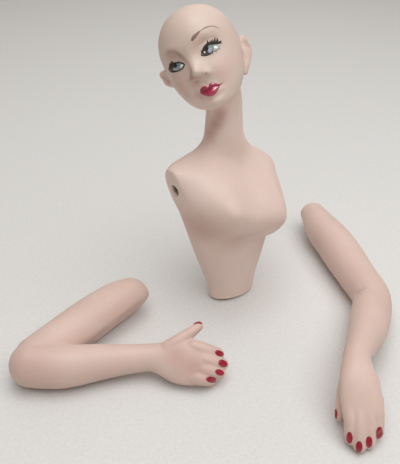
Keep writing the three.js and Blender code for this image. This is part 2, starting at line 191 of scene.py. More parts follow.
# %% Breasts
BREAST_OUT = 11  # how far a breast stands out from the chest
BREAST_ASIDE = 11.8  # from the middle of the chest to a crest
BREAST_UP = {1: 41.2, -1: 43.2}  # height of the left and of the right crest
BREAST_REACH = 13.4  # from the crest outward and down
BREAST_RISE = 17  # from the crest up
INWARD_SHARE = 0.7  # the slope to the middle is gentler: the outward reach divided by this
BLUNT = 0.22  # how blunt the crest is
FOOT_SOFT = 0.1  # how softly the foot meets the chest
FULL, FULL_CHANGE, FULL_REACH = 0.82, 0.2, 6  # a fuller curve below the crest than above it


def mound(aside, rise):
    """One blunt cone of height 1, full below and sloping above."""
    foot = math.hypot(1, BLUNT)
    wide = np.where(aside > 0, BREAST_REACH, BREAST_REACH / INWARD_SHARE)
    tall = np.where(rise > 0, BREAST_RISE, BREAST_REACH)
    cone = (foot - np.hypot(np.hypot(aside / wide, rise / tall), BLUNT)) / (foot - BLUNT)
    soft = (cone + np.hypot(cone, FOOT_SOFT)) / 2
    return soft ** (FULL + FULL_CHANGE * np.tanh(rise / FULL_REACH))


def breast(x, up):
    """How far the chest is raised: two mounds with a shallow dip between them."""
    left, right = [mound(side * x - BREAST_ASIDE, up - high) for side, high in BREAST_UP.items()]
    return BREAST_OUT * np.hypot(left, right)


# %% Shoulder faces
SHOULDER_OUT, SHOULDER_BACK, SHOULDER_UP = 23.2, 4.2, 46.6
SHOULDER_DROP = math.radians(11)  # the left shoulder is lower
FACE_LEAN = math.radians(5)  # the faces look a little downward
FACE_EDGE = 0.6  # how soft the edge of a joint face is


def shoulder_faces():
    """The two joint faces: a point on each plane, and the way it faces."""
    for side in (-1, 1):
        out = side * SHOULDER_OUT
        up = SHOULDER_UP - out * math.sin(SHOULDER_DROP)
        seat = np.array([out * math.cos(SHOULDER_DROP), SHOULDER_BACK, up])
        yield seat, np.array([side * math.cos(FACE_LEAN), 0, -math.sin(FACE_LEAN)])


def eased_flat(points, seat, outward, inset=0.0):
    """Moves points that stand outside a plane back onto it, with a soft edge."""
    beyond = (points - seat) @ outward + inset
    held = (beyond - np.sqrt(beyond ** 2 + FACE_EDGE ** 2)) / 2
    return points + (held - beyond)[:, None] * outward


for seat, _ in shoulder_faces():
    print("joint face of a shoulder at", np.round(seat, 1).tolist())

# %% [markdown]
# ## Relief of the face
# Nose, lips, eyes and chin are cast with the head and softened by the mould. They could be
# sculpted with brushes; here each is a smooth hill or hollow in a table, raised along one
# direction, so that a single form can be measured and changed without touching the others.

# %% Forms of the face
MIDLINE = 0.5  # the middle of the chin, from the middle of the head
MIDLINE_BENDS = [(1.7, -10.5, -5.5), (0.3, -5, 1)]  # how far it bends, and between which heights
NOSE_OUT, NOSE_TIP, NOSE_ROOT = 2.7, -3.7, 4.6  # how far it stands out, and two heights
NOSE_UNDER = 1.8  # how quickly it falls back below the tip
BRIDGE = 0.12  # share of the height that is left at the root
NOSE_HALF, NOSE_WIDER = 1.45, 1.3  # half width at the root, and what the tip has more
FORMS = [  # height, aside, up, reach aside, reach up
    (0.6, 0, -3.2, 2.4, 2.0),  # ball of the nose
    (1.1, -3.0, -4.9, 1.1, 1.0), (1.1, 3.0, -4.9, 1.1, 1.0),  # wings of the nose
    (-0.7, -1.6, -6.0, 0.7, 0.5), (-0.25, 1.6, -6.0, 0.7, 0.5),  # nostrils
    (0.8, -7.2, -5.6, 4, 3.6), (0.8, 7.2, -5.6, 4, 3.6),  # cheeks
    (-0.3, -3.9, -9.8, 0.8, 0.8), (-0.3, 3.9, -9.8, 0.8, 0.8),  # corners of the mouth
    (0.75, 0, -9.1, 3.3, 0.9), (0.95, 0, -11, 2.6, 0.95),  # upper and lower lip
    (-0.3, 0, -7.5, 0.6, 1.0), (-0.5, 0, -12.6, 2.8, 0.7),  # dips above and below the lips
    (1.2, 0, -14.4, 3.1, 2.1),  # chin
]
EYES = [(5.3, 1.1), (-7.1, 0.7)]  # across and up
EYE_FORMS = [  # height, share of the eye's place across, up from the eye, reach across, reach up
    (-1.5, 1, 0.3, 3.7, 2.9),  # socket
    (0.9, 1, 0, 2.7, 1.9),  # eyeball
    (0.4, 1.02, 5.2, 4.5, 1.7),  # bone under the brow
]
LID_UP, LID_BEND = 2.9, 0.09  # the fold of the lid: its height over the eye, and its curve
LID_FOLD = 0.28, 0.4, 3.4  # depth, width and half length
MOUTH_UP = -10
MOUTH_FOLD = 0.12, 0.32, 3.4


def hill(x, y, wide, tall):
    """A smooth hill of height 1."""
    return np.exp(-((x / wide) ** 2) - (y / tall) ** 2)


def fold(aside, off, depth, wide, half):
    """A narrow fold with soft ends."""
    return depth * np.exp(-((off / wide) ** 2) - (aside / half) ** 4)


# %% Relief of the face
def relief(x, up):
    """How far the face stands out from the plain head, by head-frame position."""
    aside = x - MIDLINE
    for by, low, high in MIDLINE_BENDS:
        aside = aside + by * ease(low, high, up)
    along = 1 - ease(NOSE_TIP, NOSE_ROOT, up)
    ridge = np.where(up > NOSE_TIP, along, np.exp(-(((up - NOSE_TIP) / NOSE_UNDER) ** 2)))
    ridge = ridge * hill(aside, 0, NOSE_HALF + NOSE_WIDER * along, 1)
    out = NOSE_OUT * (BRIDGE + (1 - BRIDGE) * along) * ridge
    for height, middle, level, wide, tall in FORMS:
        out += height * hill(aside - middle, up - level, wide, tall)
    for across, eye_up in EYES:
        for height, share, level, wide, tall in EYE_FORMS:
            out += height * hill(x - share * across, up - eye_up - level, wide, tall)
        lid = eye_up + LID_UP - LID_BEND * (x - across) ** 2
        out -= fold(x - across, up - lid, *LID_FOLD)
    return out - fold(aside, up - MOUTH_UP, *MOUTH_FOLD)


nose_tip = relief(np.array([MIDLINE - MIDLINE_BENDS[0][0]]), np.array([NOSE_TIP]))
print("the nose stands out by", np.round(nose_tip, 1).tolist(), "mm")

# %% [markdown]
# ## The bust's skin
# One function gives the skin for every place in the stack and every angle around it. It turns
# the section, raises the breasts or the face and flattens the shoulders. Asked for an inset,
# it gives the hollow inside, which follows the sections but has no face.

# %% One point of the bust's skin for each place and angle
HEAD_ROWS = 2  # rows over which the neck turns into the head
HEAD_THICKER = 0.4  # the head's wall is thicker than the torso's by this share
FRONT_FADE = 5  # depth over which breasts and face fade in
SHOULDERS_BELOW = 62  # the shoulder faces shape only what is below this height


def bust_skin(place, angle, inset):
    """Spots of the skin, or of the hollow that lies under it by an inset."""
    row = between(BUST_ROWS, place)
    turn = unit(row[:, 3:7])
    half, front, back, droop = row[:, 7:].T
    headness = ease(NECK_ROW, NECK_ROW + HEAD_ROWS, place)
    shrink = inset * (1 + HEAD_THICKER * headness)
    forward = (np.where(np.cos(angle) > 0, front, back) - shrink) * np.cos(angle)
    across = (half - shrink) * np.sin(angle)
    level = np.stack([across, -forward, -droop * forward], axis=1)
    points = spun(turn, level) + row[:, :3]
    bare = ease(0, FRONT_FADE, forward)
    points[:, 1] -= breast(across, row[:, 2]) * bare * (place < NECK_ROW)
    own = (points - HEAD_MIDDLE) @ HEAD_SPIN
    own[:, 1] -= relief(own[:, 0], own[:, 2]) * bare * headness * (np.max(inset) == 0)
    points = own @ HEAD_SPIN.T + HEAD_MIDDLE
    for seat, outward in shoulder_faces():
        flat = eased_flat(points, seat, outward, inset)
        points = np.where(points[:, 2:] < SHOULDERS_BELOW, flat, points)
    return points


# %% [markdown]
# ## The bust's mesh
# The outside and the inside are lofted with the same number of points around, so the rim of
# the waist can be closed by a few narrow rings between them, rounded as on a fettled casting.
# A solid with a Solidify modifier would be hollow too, but its rim would be square. The rim's
# front is clear of the table, so the sections there start a little higher.

# %% Turn points into a mesh object
def make_mesh(name, points, faces):
    """A smooth object in the scene, from points in millimetres."""
    mesh = bpy.data.meshes.new(name)
    mesh.from_pydata((np.asarray(points) * MM).tolist(), [], faces)
    mesh.polygons.foreach_set("use_smooth", [True] * len(mesh.polygons))
    mesh.update()
    thing = bpy.data.objects.new(name, mesh)
    scene.collection.objects.link(thing)
    return thing


def skin_faces(rings, around, first=0, inward=False):
    """Quads that join rings of points, one ring after another."""
    faces = []
    for i in range(rings - 1):
        for j in range(around):
            k = (j + 1) % around
            low, high = first + i * around, first + (i + 1) * around
            quad = [low + j, low + k, high + k, high + j]
            faces.append(quad[::-1] if inward else quad)
    return faces


def closed_skin(rings, around):
    """Faces of a closed body: quads between its rings, and a face over each end."""
    start = list(range(around))
    end = list(range((rings - 1) * around, rings * around))
    return skin_faces(rings, around) + [start[::-1], end]


# %% Rings of the bust
AROUND = 180
CROWDING = 0.35  # how much closer the points lie at the front
even = 2 * np.pi * np.arange(AROUND) / AROUND
ANGLES = even - CROWDING * np.sin(even)
RIM_SLANT = 0.32, -0.107, -0.184  # the gap under the rim: at the foot, and its slope in X and Y
RIM_BLEND, RIM_SINK = 0.2, 0.01  # how softly the gap begins, and what is taken off all of it
SLANT_ROWS = 8  # rows over which the slant fades out
FIRST_RISE = TORSO[1][0] - TORSO[0][0]
HEAD_STEP = 0.42  # the rings of the head are closer by this share
HEAD_UP = 90  # about the height of the head, for sharing out the rings


def rim_gap(points):
    """How far the front of the rim is clear of the table, by the spot on the rim."""
    at_foot, slope_x, slope_y = RIM_SLANT
    slant = at_foot + slope_x * points[:, 0] + slope_y * points[:, 1]
    return (slant + np.hypot(slant, RIM_BLEND)) / 2 - RIM_SINK


def bust_ring(place, inset):
    """One ring of points. The lower rings follow the slant of the rim."""
    inset = np.full(AROUND, float(inset))
    places = np.full(AROUND, float(place))
    if place < SLANT_ROWS:
        rise = rim_gap(bust_skin(np.zeros(AROUND), ANGLES, inset)) / FIRST_RISE
        places = rise + place * (1 - rise / SLANT_ROWS)
    return bust_skin(places, ANGLES, inset)


def ring_places(first, step):
    """Places from the first one to the crown, closer together on the head."""
    heights = [row[0] for row in TORSO] + [HEAD_UP + row[0] for row in HEAD]
    places = []
    for i in range(len(heights) - 1):
        gap = step if i < NECK_ROW else HEAD_STEP * step
        count = max(2, round((heights[i + 1] - heights[i]) / gap))
        places += [i + k / count for k in range(count)]
    return [place for place in places if place > first] + [len(heights) - 1]


# %% Loft the bust
WALL = 2.4
RIM_RINGS = [  # place and inset of the rings that round the rim, from the inside to the outside
    (0.03, WALL - 0.05), (0, WALL - 0.5), (0, 0.55), (0.02, 0.2), (0.06, 0)]
ABOVE_RIM = 0.09  # the other rings start here
OUTER_STEP, INNER_STEP = 0.6, 1.6  # from ring to ring, in mm
HOLLOW_TOP = len(BUST_ROWS) - 4  # the hollow ends below the crown

inner_places = [place for place in ring_places(ABOVE_RIM, INNER_STEP) if place <= HOLLOW_TOP]
inside = [bust_ring(place, WALL) for place in reversed(inner_places)]
rim = [bust_ring(place, inset) for place, inset in RIM_RINGS]
outside = [bust_ring(place, 0) for place in ring_places(ABOVE_RIM, OUTER_STEP)]
rings = inside + rim + outside
points = np.concatenate(rings)
bust = make_mesh("bust_casting", points + BUST_AT, closed_skin(len(rings), AROUND))
print("bust lofted from", len(rings), "rings and", len(points), "points")

# %% [markdown]
# ## Limbs
# An arm is a line of round or flattened sections with domed ends, and so are its fingers.
# A curve with a bevel would give round ones only, so the sections are lofted here too. The
# ears use the same loft, flattened to a leaf.

# %% Loft a limb
DOME_RINGS = 10  # rings in a domed end
DOME_STOP = 0.2  # a dome stops this share of a ring short of its point
NEARBY = 1e-3  # share of a row over which the direction is measured


def limb(rows, back, rings, around):
    """A body through rows of spot, half width and half thickness. Its upper side faces back."""
    rows = np.asarray(rows, float)
    last = len(rows) - 1
    step = np.arange(-DOME_RINGS, rings + DOME_RINGS + 1)
    along = np.clip(step / rings, 0, 1) * last
    over = np.maximum(np.maximum(-step, step - rings), 0) / (DOME_RINGS + DOME_STOP)
    row = between(rows, along)
    after, before = np.minimum(along + NEARBY, last), np.maximum(along - NEARBY, 0)
    ahead = unit((between(rows, after) - between(rows, before))[:, :3])
    back = np.asarray(back, float)
    facing = between(back, along) if back.ndim == 2 else np.broadcast_to(back, ahead.shape)
    side = unit(np.cross(facing, ahead))
    out = unit(np.cross(ahead, side))
    round_off, push = np.cos(over * np.pi / 2), np.sin(over * np.pi / 2) * np.sign(step)
    middle = row[:, :3] + ahead * (push * np.minimum(row[:, 3], row[:, 4]))[:, None]
    turn = 2 * np.pi * np.arange(around) / around
    ring = (
        middle[:, None]
        + side[:, None] * (row[:, 3] * round_off)[:, None, None] * np.cos(turn)[None, :, None]
        + out[:, None] * (row[:, 4] * round_off)[:, None, None] * np.sin(turn)[None, :, None]
    )
    return ring.reshape(-1, 3), closed_skin(len(step), around)


# %% [markdown]
# ## Join, cut and even out
# Pieces of one casting are joined with a Boolean modifier, and holes are cut with one. The
# modifier is applied at once, so that what follows works on plain points. A join leaves a hard
# crease, which the casting hasn't: points there are moved towards their neighbours and almost
# all the way back, which smooths without shrinking.

# %% Join, cut and even out
STEP_IN, STEP_BACK = 0.5, -0.52  # shares of the way to the middle of the neighbours


def surface(thing):
    """The surface of an object, for sighting and for finding the nearest spot."""
    return BVHTree.FromObject(thing, bpy.context.evaluated_depsgraph_get())


def apply_modifiers(thing):
    """Replaces the mesh by what its modifiers make of it."""
    shape = thing.evaluated_get(bpy.context.evaluated_depsgraph_get())
    old, thing.data = thing.data, bpy.data.meshes.new_from_object(shape)
    thing.modifiers.clear()
    bpy.data.meshes.remove(old)
    thing.data.polygons.foreach_set("use_smooth", [True] * len(thing.data.polygons))


def cut_or_join(thing, other, operation):
    """Joins another body to a casting or cuts it out, and removes that body."""
    step = thing.modifiers.new(operation.lower(), "BOOLEAN")
    step.operation, step.object, step.solver = operation, other, "EXACT"
    apply_modifiers(thing)
    bpy.data.objects.remove(other)


def points_of(thing):
    """The points of an object's mesh, in millimetres."""
    flat = np.empty(3 * len(thing.data.vertices))
    thing.data.vertices.foreach_get("co", flat)
    return flat.reshape(-1, 3) / MM


def put_points(thing, points):
    """Moves the points of an object's mesh."""
    thing.data.vertices.foreach_set("co", (np.asarray(points) * MM).ravel())
    thing.data.update()


def relax(thing, times, weight=1.0):
    """Evens out a mesh without shrinking it: a step towards the neighbours, then one back."""
    points = points_of(thing)
    ends = np.empty(2 * len(thing.data.edges), int)
    thing.data.edges.foreach_get("vertices", ends)
    a, b = ends.reshape(-1, 2).T
    count = np.bincount(a, minlength=len(points)) + np.bincount(b, minlength=len(points))
    strength = np.broadcast_to(np.asarray(weight, float), len(points))[:, None]
    for share in (STEP_IN, STEP_BACK) * times:
        total = np.stack([
            np.bincount(a, points[b, k], len(points)) + np.bincount(b, points[a, k], len(points))
            for k in range(3)
        ], axis=1)
        points += share * strength * (total / np.maximum(count, 1)[:, None] - points)
    put_points(thing, points)


# %% [markdown]
# ## Ears
# The ears are small pointed leaves with a dished front, cast with the head. They could be
# forms of the face's relief, but a leaf stands off the head, which a relief can't. So each is
# lofted and joined to the head, and the crease where they meet becomes a soft fillet.

# %% Shape of an ear
EARS = {  # out, forward, up, share of the width, share of the thickness
    "right": [(10.6, 0.8, -4.2, 0.5, 0.9), (12.1, 0.2, -2.9, 0.95, 1),
              (13.3, -0.8, -1.0, 1.2, 0.92), (14.8, -2, 0.5, 0.5, 0.6)],
    "left": [(11.6, 0.9, -10, 0.5, 0.9), (13.1, 0.2, -6.8, 0.9, 1),
             (14.4, -0.8, -3.2, 1.1, 0.92), (15.1, -2, 0.2, 0.5, 0.6)],
}
EAR_SHIFT = 0.9  # both ears sit this much to the doll's right
EAR_HALF, EAR_THICK = 2.3, 1.1  # half width and half thickness
EAR_FACING = 0.55, -0.83  # the dished front looks outward and forward
EAR_RINGS, EAR_AROUND = 30, 28
DISH_LINE = np.linspace(0.2, 1.2, 7)  # the dish runs between the second and the third section
DISH_DEEP, DISH_REACH, DISH_FRONT = 0.95, 1.7, -0.2


def distances(points, line):
    """How far each point is from each spot of a line."""
    return np.linalg.norm(points[:, None] - line[None], axis=2)


def ear(side, sections):
    """A leaf through the sections, with a dish pressed into its front."""
    rows = []
    for out, forward, up, wide, thick in sections:
        spot = in_head(side * out - EAR_SHIFT, forward, up)
        rows.append([*spot, EAR_HALF * wide, EAR_THICK * thick])
    facing = np.array([side * EAR_FACING[0], EAR_FACING[1], 0]) @ HEAD_SPIN.T
    points, faces = limb(rows, facing, EAR_RINGS, EAR_AROUND)
    spine = np.array(rows)[:, :3]
    dish = spine[1] + DISH_LINE[:, None] * (spine[2] - spine[1])
    near = distances(points, dish).min(axis=1)
    in_front = (points - dish[len(dish) // 2]) @ facing > DISH_FRONT
    deep = DISH_DEEP * np.exp(-((near / DISH_REACH) ** 2)) * in_front
    return points - deep[:, None] * facing, faces


# %% Join the ears to the head
FILLET = 0.8
FILLET_ROUNDS = 12
EAR_REACH = 4  # points farther from an ear stay as they are
FAR = 1.0  # metres; stands for points out of reach and for those of the ear's own skin

head_tree = surface(bust)
ear_trees = []
for side, word in ((-1, "right"), (1, "left")):
    points, faces = ear(side, EARS[word])
    leaf = make_mesh(word + "_ear", points + BUST_AT, faces)
    ear_trees.append(surface(leaf))
    cut_or_join(bust, leaf, "UNION")
from_crease = []
for point in bust.data.vertices:
    to_ear = min(tree.find_nearest(point.co, EAR_REACH * MM)[3] or FAR for tree in ear_trees)
    to_head = head_tree.find_nearest(point.co)[3] if to_ear < EAR_REACH * MM else FAR
    from_crease.append((to_ear + to_head) / MM)
relax(bust, FILLET_ROUNDS, np.exp(-((np.array(from_crease) / FILLET) ** 2)))
print("ears joined:", len(bust.data.vertices), "points in the bust")

# %% [markdown]
# ## Stringing holes
# A round hole of 4.4 mm goes through each shoulder's joint face into the hollow. A dark spot
# of paint would do from afar, but a hole has to show its depth from every side, so it is cut
# with a plain round rod, as the maker bores it through the leather-hard clay.

# %% Bore the shoulders
HOLE = 4.4  # diameter
HOLE_DEEP = 7.2  # from the joint face into the hollow
ROD_AROUND = 40
ANY_OTHER_WAY = [0.3, 0.2, 0.9]  # a direction that no rod has


def rod(name, start, end, diameter):
    """A plain round rod from one spot to another."""
    ahead = unit(np.array(end) - start)
    aside = unit(np.cross(ahead, ANY_OTHER_WAY))
    up = np.cross(ahead, aside)
    turn = 2 * np.pi * np.arange(ROD_AROUND) / ROD_AROUND
    circle = (np.cos(turn)[:, None] * aside + np.sin(turn)[:, None] * up) * diameter / 2
    points = np.concatenate([circle + start, circle + end])
    return make_mesh(name, points, closed_skin(2, ROD_AROUND))


for seat, outward in shoulder_faces():
    borer = rod("borer", seat - HOLE_DEEP * outward + BUST_AT, seat + outward + BUST_AT, HOLE)
    cut_or_join(bust, borer, "DIFFERENCE")
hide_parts("bust")
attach(bust, "bust")
print("shoulders bored:", len(bust.data.polygons), "faces")

# %% [markdown]
# ## Arms
# Both arms are solid castings. The upper arm, forearm, palm and fingers are lofted as
# overlapping limbs and then fused by a voxel remesh, which melts them into one skin with
# soft grooves between the fingers, as a plaster mould gives. Joining them with Booleans would
# leave hard creases. The flat face at the shoulder end goes against the bust's joint face.

# %% Fuse limbs into one casting
VOXEL = 0.36
MELT_ROUNDS = 9
KNUCKLES = 0, 0.34, 0.68, 1  # shares of a finger's length
DIGIT_RINGS, DIGIT_AROUND = 14, 20


def merged(parts):
    """Several bodies as one list of points and one list of faces."""
    points, faces, count = [], [], 0
    for part_points, part_faces in parts:
        points.append(part_points)
        faces += [[count + k for k in face] for face in part_faces]
        count += len(part_points)
    return np.concatenate(points), faces


def fuse(name, parts):
    """Melts overlapping limbs into one casting that lies on the table."""
    spots, faces = merged(parts)
    arm = make_mesh(name, np.stack([on_table(*spot) for spot in spots]), faces)
    melt = arm.modifiers.new("melt", "REMESH")
    melt.mode, melt.voxel_size = "VOXEL", VOXEL * MM
    apply_modifiers(arm)
    relax(arm, MELT_ROUNDS)
    melted = points_of(arm)
    put_points(arm, melted - [0, 0, melted[:, 2].min()])
    return arm


def digit(root, tip, back, bow, sizes):
    """A finger that bows towards its back, with its thickness at root and tip."""
    rows = []
    for share in KNUCKLES:
        spot = np.array(root) * (1 - share) + np.array(tip) * share
        spot = spot + np.array(back) * bow * math.sin(math.pi * share)
        half = (sizes[0] * (1 - share) + sizes[1] * share) / 2
        rows.append([*spot, half, half])
    return limb(rows, back, DIGIT_RINGS, DIGIT_AROUND)


# %% Lay rows along a line on the table
def laid(start, heading, length, rows):
    """Rows given as: share of the length, aside, height, half width, half thickness."""
    ahead = np.array([math.cos(math.radians(heading)), math.sin(math.radians(heading))])
    aside = np.array([-ahead[1], ahead[0]])
    return [[*(np.array(start[:2]) + ahead * share * length + aside * off), *rest]
            for share, off, *rest in rows]


def beside(spot, rows):
    """Rows given from another spot on the table."""
    return [[spot[0] + x, spot[1] + y, *rest] for x, y, *rest in rows]


# %% [markdown]
# ### Right arm
# The right arm is bent sharply at the elbow, and its hand lies on its edge with the back
# turned up and towards the camera. Upper arm and forearm are two limbs that overlap at the
# elbow, because one limb would fold over itself in so tight a bend.

# %% Upper arm and forearm of the right arm
UP = [0.0, 0.0, 1.0]
ARM_AROUND = 48
RIGHT_BACK = unit([0.05, -0.68, 0.73])
RIGHT_FACE = np.array([-39.7, -23.6, 6]), unit([0.7, -0.52, -0.49])  # a spot, and its facing
UPPER_START, UPPER_HEADING, UPPER_LONG = (-37.4, -13.4), -131, 43.9
ELBOW_SHIFT = [[-0.6, -2.9]]
FORE_HEADING, FORE_LONG = 5, 39.6
UPPER_RINGS, FORE_RINGS = 60, 120

upper_rows = laid(UPPER_START, UPPER_HEADING, UPPER_LONG, [
    [0.03, 0.5, 8.2, 7.2, 7.6], [0.167, -0.6, 8.2, 8.4, 7.8],
    [0.471, -0.8, 8, 8.6, 7.8], [1, 0, 7.8, 7.05, 7.5]])
upper, upper_faces = limb(upper_rows, UP, UPPER_RINGS, ARM_AROUND)
upper = eased_flat(upper, *RIGHT_FACE)

elbow = beside(upper_rows[-1], ELBOW_SHIFT)[0]
fore_rows = laid(elbow, FORE_HEADING, FORE_LONG, [
    [0, 0, 7.6, 7.5, 7.5], [0.25, -1.7, 7.5, 7.08, 7.08], [0.546, -0.4, 7.2, 5.99, 5.99],
    [0.781, 0.4, 7, 4.98, 4.98], [1, 0, 7.4, 4.7, 4.14]])
wrist = fore_rows[-1]
palm_rows = beside(wrist, [
    [8.2, -2.2, 7.8, 7.06, 3.3], [13, -3.2, 7.8, 7.06, 2.8], [15.8, -3.5, 8.05, 6.6, 2.35],
    [18.1, -3.7, 7.5, 5.7, 2], [19.4, -3.5, 6.9, 5, 1.7]])
fore_backs = [UP, UP, [0, -0.2, 1], [0, -0.6, 1], *[RIGHT_BACK] * 6]
fore = limb(fore_rows + palm_rows, fore_backs, FORE_RINGS, ARM_AROUND)
print("right wrist at", np.round(on_table(*wrist[:3]), 1).tolist())

# %% Right hand
FINGER, THUMB = (5, 4.2), (6, 3)  # thickness at root and tip
FINGER_BOW, THUMB_BOW = 1.5, 0.3
RIGHT_ROOTS = beside(wrist, [
    [13.3, 1, 11.2], [13.7, -1.4, 9], [13.5, -3.8, 6.7], [12.9, -6.2, 4.6]])
RIGHT_TIPS = beside(wrist, [
    [21.5, 0.8, 8.3], [22.9, -1.9, 6.3], [21.8, -4.3, 4.6], [18.7, -5.9, 3]])
RIGHT_THUMB = beside(wrist, [[4.9, 1.2, 10], [15.1, 6.8, 15]])

fingers = [digit(root, tip, RIGHT_BACK, FINGER_BOW, FINGER)
           for root, tip in zip(RIGHT_ROOTS, RIGHT_TIPS)]
thumb = digit(*RIGHT_THUMB, RIGHT_BACK, THUMB_BOW, THUMB)
right_arm = fuse("right_arm_casting", [(upper, upper_faces), fore, *fingers, thumb])
print("right arm:", len(right_arm.data.vertices), "points")

# %% [markdown]
# ### Left arm
# The left arm is nearly straight: a single limb goes from the shoulder to the knuckles, with
# the wrist raised and the fingers touching the table. Its joint face lies almost underneath,
# so only the shoulder end is flattened.

# %% Left arm from shoulder to palm
LEFT_BACK = unit([-0.06, -0.5, 0.86])
LEFT_FACE = np.array([40.3, 33.1, 4.2]), unit([-0.4, 0.12, -0.9])
LEFT_FACE_REACH = 26  # the joint face shapes only what is nearer than this
LEFT_START, LEFT_HEADING, LEFT_LONG = (39.5, 45.4), -77.5, 60.1
LEFT_FORE_HEADING, LEFT_FORE_LONG = -110, 41.1
LEFT_RINGS = 180

upper_rows = laid(LEFT_START, LEFT_HEADING, LEFT_LONG, [
    [0, 0, 8, 5.93, 6.24], [0.217, -0.3, 8, 7.6, 7.8], [0.379, 0.6, 8, 8, 7.8],
    [0.566, 0.6, 7.9, 8, 7.8], [0.768, 0.4, 7.6, 7.33, 7.33], [1, 0, 7.4, 6.98, 7.2]])
fore_rows = laid(upper_rows[-1], LEFT_FORE_HEADING, LEFT_FORE_LONG, [
    [0.346, 1.3, 8.8, 7.13, 7.13], [0.665, 1.3, 11.2, 6.13, 6.13], [1, 0, 14.8, 4.42, 4.61]])
wrist = fore_rows[-1]
palm_rows = beside(wrist, [
    [-1.5, -6, 15.4, 4.82, 3.89], [-1.9, -11.9, 14, 6.05, 3.3], [-1.7, -18.9, 9.5, 6.3, 2.5],
    [-1.5, -21.4, 6.95, 5.5, 1.85], [-1.5, -22.6, 5.5, 4.8, 1.5]])
whole_backs = [*[UP] * 8, [0, -0.3, 1], *[LEFT_BACK] * 5]
whole_rows = upper_rows + fore_rows + palm_rows
whole, whole_faces = limb(whole_rows, whole_backs, LEFT_RINGS, ARM_AROUND)
near = np.linalg.norm(whole - LEFT_FACE[0], axis=1)[:, None] < LEFT_FACE_REACH
whole = np.where(near, eased_flat(whole, *LEFT_FACE), whole)
print("left wrist at", np.round(on_table(*wrist[:3]), 1).tolist())

# %% Left hand
LEFT_FINGER_BOW, LEFT_THUMB_BOW = 1.1, 0.5
LEFT_THUMB_BACK = [-1, 0, 0]
LEFT_ROOTS = beside(wrist, [
    [-5.2, -15.7, 10.6], [-2.7, -16.7, 10.7], [0, -16.7, 10.7], [2.6, -15.7, 10.5]])
LEFT_TIPS = beside(wrist, [
    [-5.3, -23.9, 3.3], [-3.2, -25.9, 2.5], [-0.3, -24.7, 2.6], [2.7, -21.7, 3.4]])
LEFT_THUMB = beside(wrist, [[-3.4, -6.7, 12], [-7.2, -16.1, 3.6]])

fingers = [digit(root, tip, LEFT_BACK, LEFT_FINGER_BOW, FINGER)
           for root, tip in zip(LEFT_ROOTS, LEFT_TIPS)]
thumb = digit(*LEFT_THUMB, LEFT_THUMB_BACK, LEFT_THUMB_BOW, THUMB)
left_arm = fuse("left_arm_casting", [(whole, whole_faces), *fingers, thumb])
print("left arm:", len(left_arm.data.vertices), "points")

# %% [markdown]
# ### Crease of the left elbow
# Where the left arm bends, the mould has a soft crease that fades out towards the back of the
# elbow. It could be a line of paint, but it catches the light, so it is pressed into the skin.
# Its line is sighted: points read in the picture are thrown from the camera onto the arm.

# %% Sight through the camera
PICTURE_WIDE, PICTURE_TALL = 400, 464  # pixels


def sight(across, down):
    """The direction from the camera through a point of the picture."""
    focal = PICTURE_TALL / 2 / math.tan(FIELD / 2)
    right, up = across - PICTURE_WIDE / 2, PICTURE_TALL / 2 - down
    ahead = Vector((right / focal, up / focal, -1))
    return (camera.matrix_world.to_3x3() @ ahead).normalized()


def sighted(tree, across, down):
    """The spot on a casting that the camera sees at a point of the picture, and its normal."""
    spot, normal, _, _ = tree.ray_cast(camera.location, sight(across, down))
    return (np.array(spot) / MM, np.array(normal)) if spot else (None, None)


# %% Press the crease
CROOK = [(355, 294), (358, 291.6), (361.6, 289.6), (366, 288.4)]  # picture points
CREASE_DEEP, CREASE_WIDE = 0.9, 1.1
CREASE_FADE = 0.8  # share of the depth that is lost at the far end
CREASE_POINTS = 24


def smooth_line(points, count):
    """A smooth line through the given points."""
    points = np.asarray(points, float)
    return between(points, np.linspace(0, len(points) - 1, count))


def press(thing, line, depth, wide):
    """Presses a soft crease into a casting, along a line that fades out."""
    points = points_of(thing)
    normals = np.array([spot.normal for spot in thing.data.vertices])
    line = smooth_line(line, CREASE_POINTS)
    far = distances(points, line)
    fade = 1 - CREASE_FADE * far.argmin(axis=1) / len(line)
    deep = depth * fade * np.exp(-((far.min(axis=1) / wide) ** 2))
    put_points(thing, points - normals * deep[:, None])


left_tree = surface(left_arm)
crook = [sighted(left_tree, *point)[0] for point in CROOK]
press(left_arm, crook, CREASE_DEEP, CREASE_WIDE)
print("elbow creased from", np.round(crook[0], 1).tolist())

# %% [markdown]
# ### Arms in place of their solids
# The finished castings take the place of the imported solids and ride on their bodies, so they
# lift with them.

# %% Put the arms in place of their solids
for arm, node in ((right_arm, "right_arm"), (left_arm, "left_arm")):
    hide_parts(node)
    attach(arm, node)
    print(arm.name, "takes the place of", node)

# %% [markdown]
# ## Materials
# Every finish here is node based, because nodes look the same from every side and need no
# picture. A small class wraps a socket so that the mixing can be written as ordinary sums and
# products, and one method adds any other node.

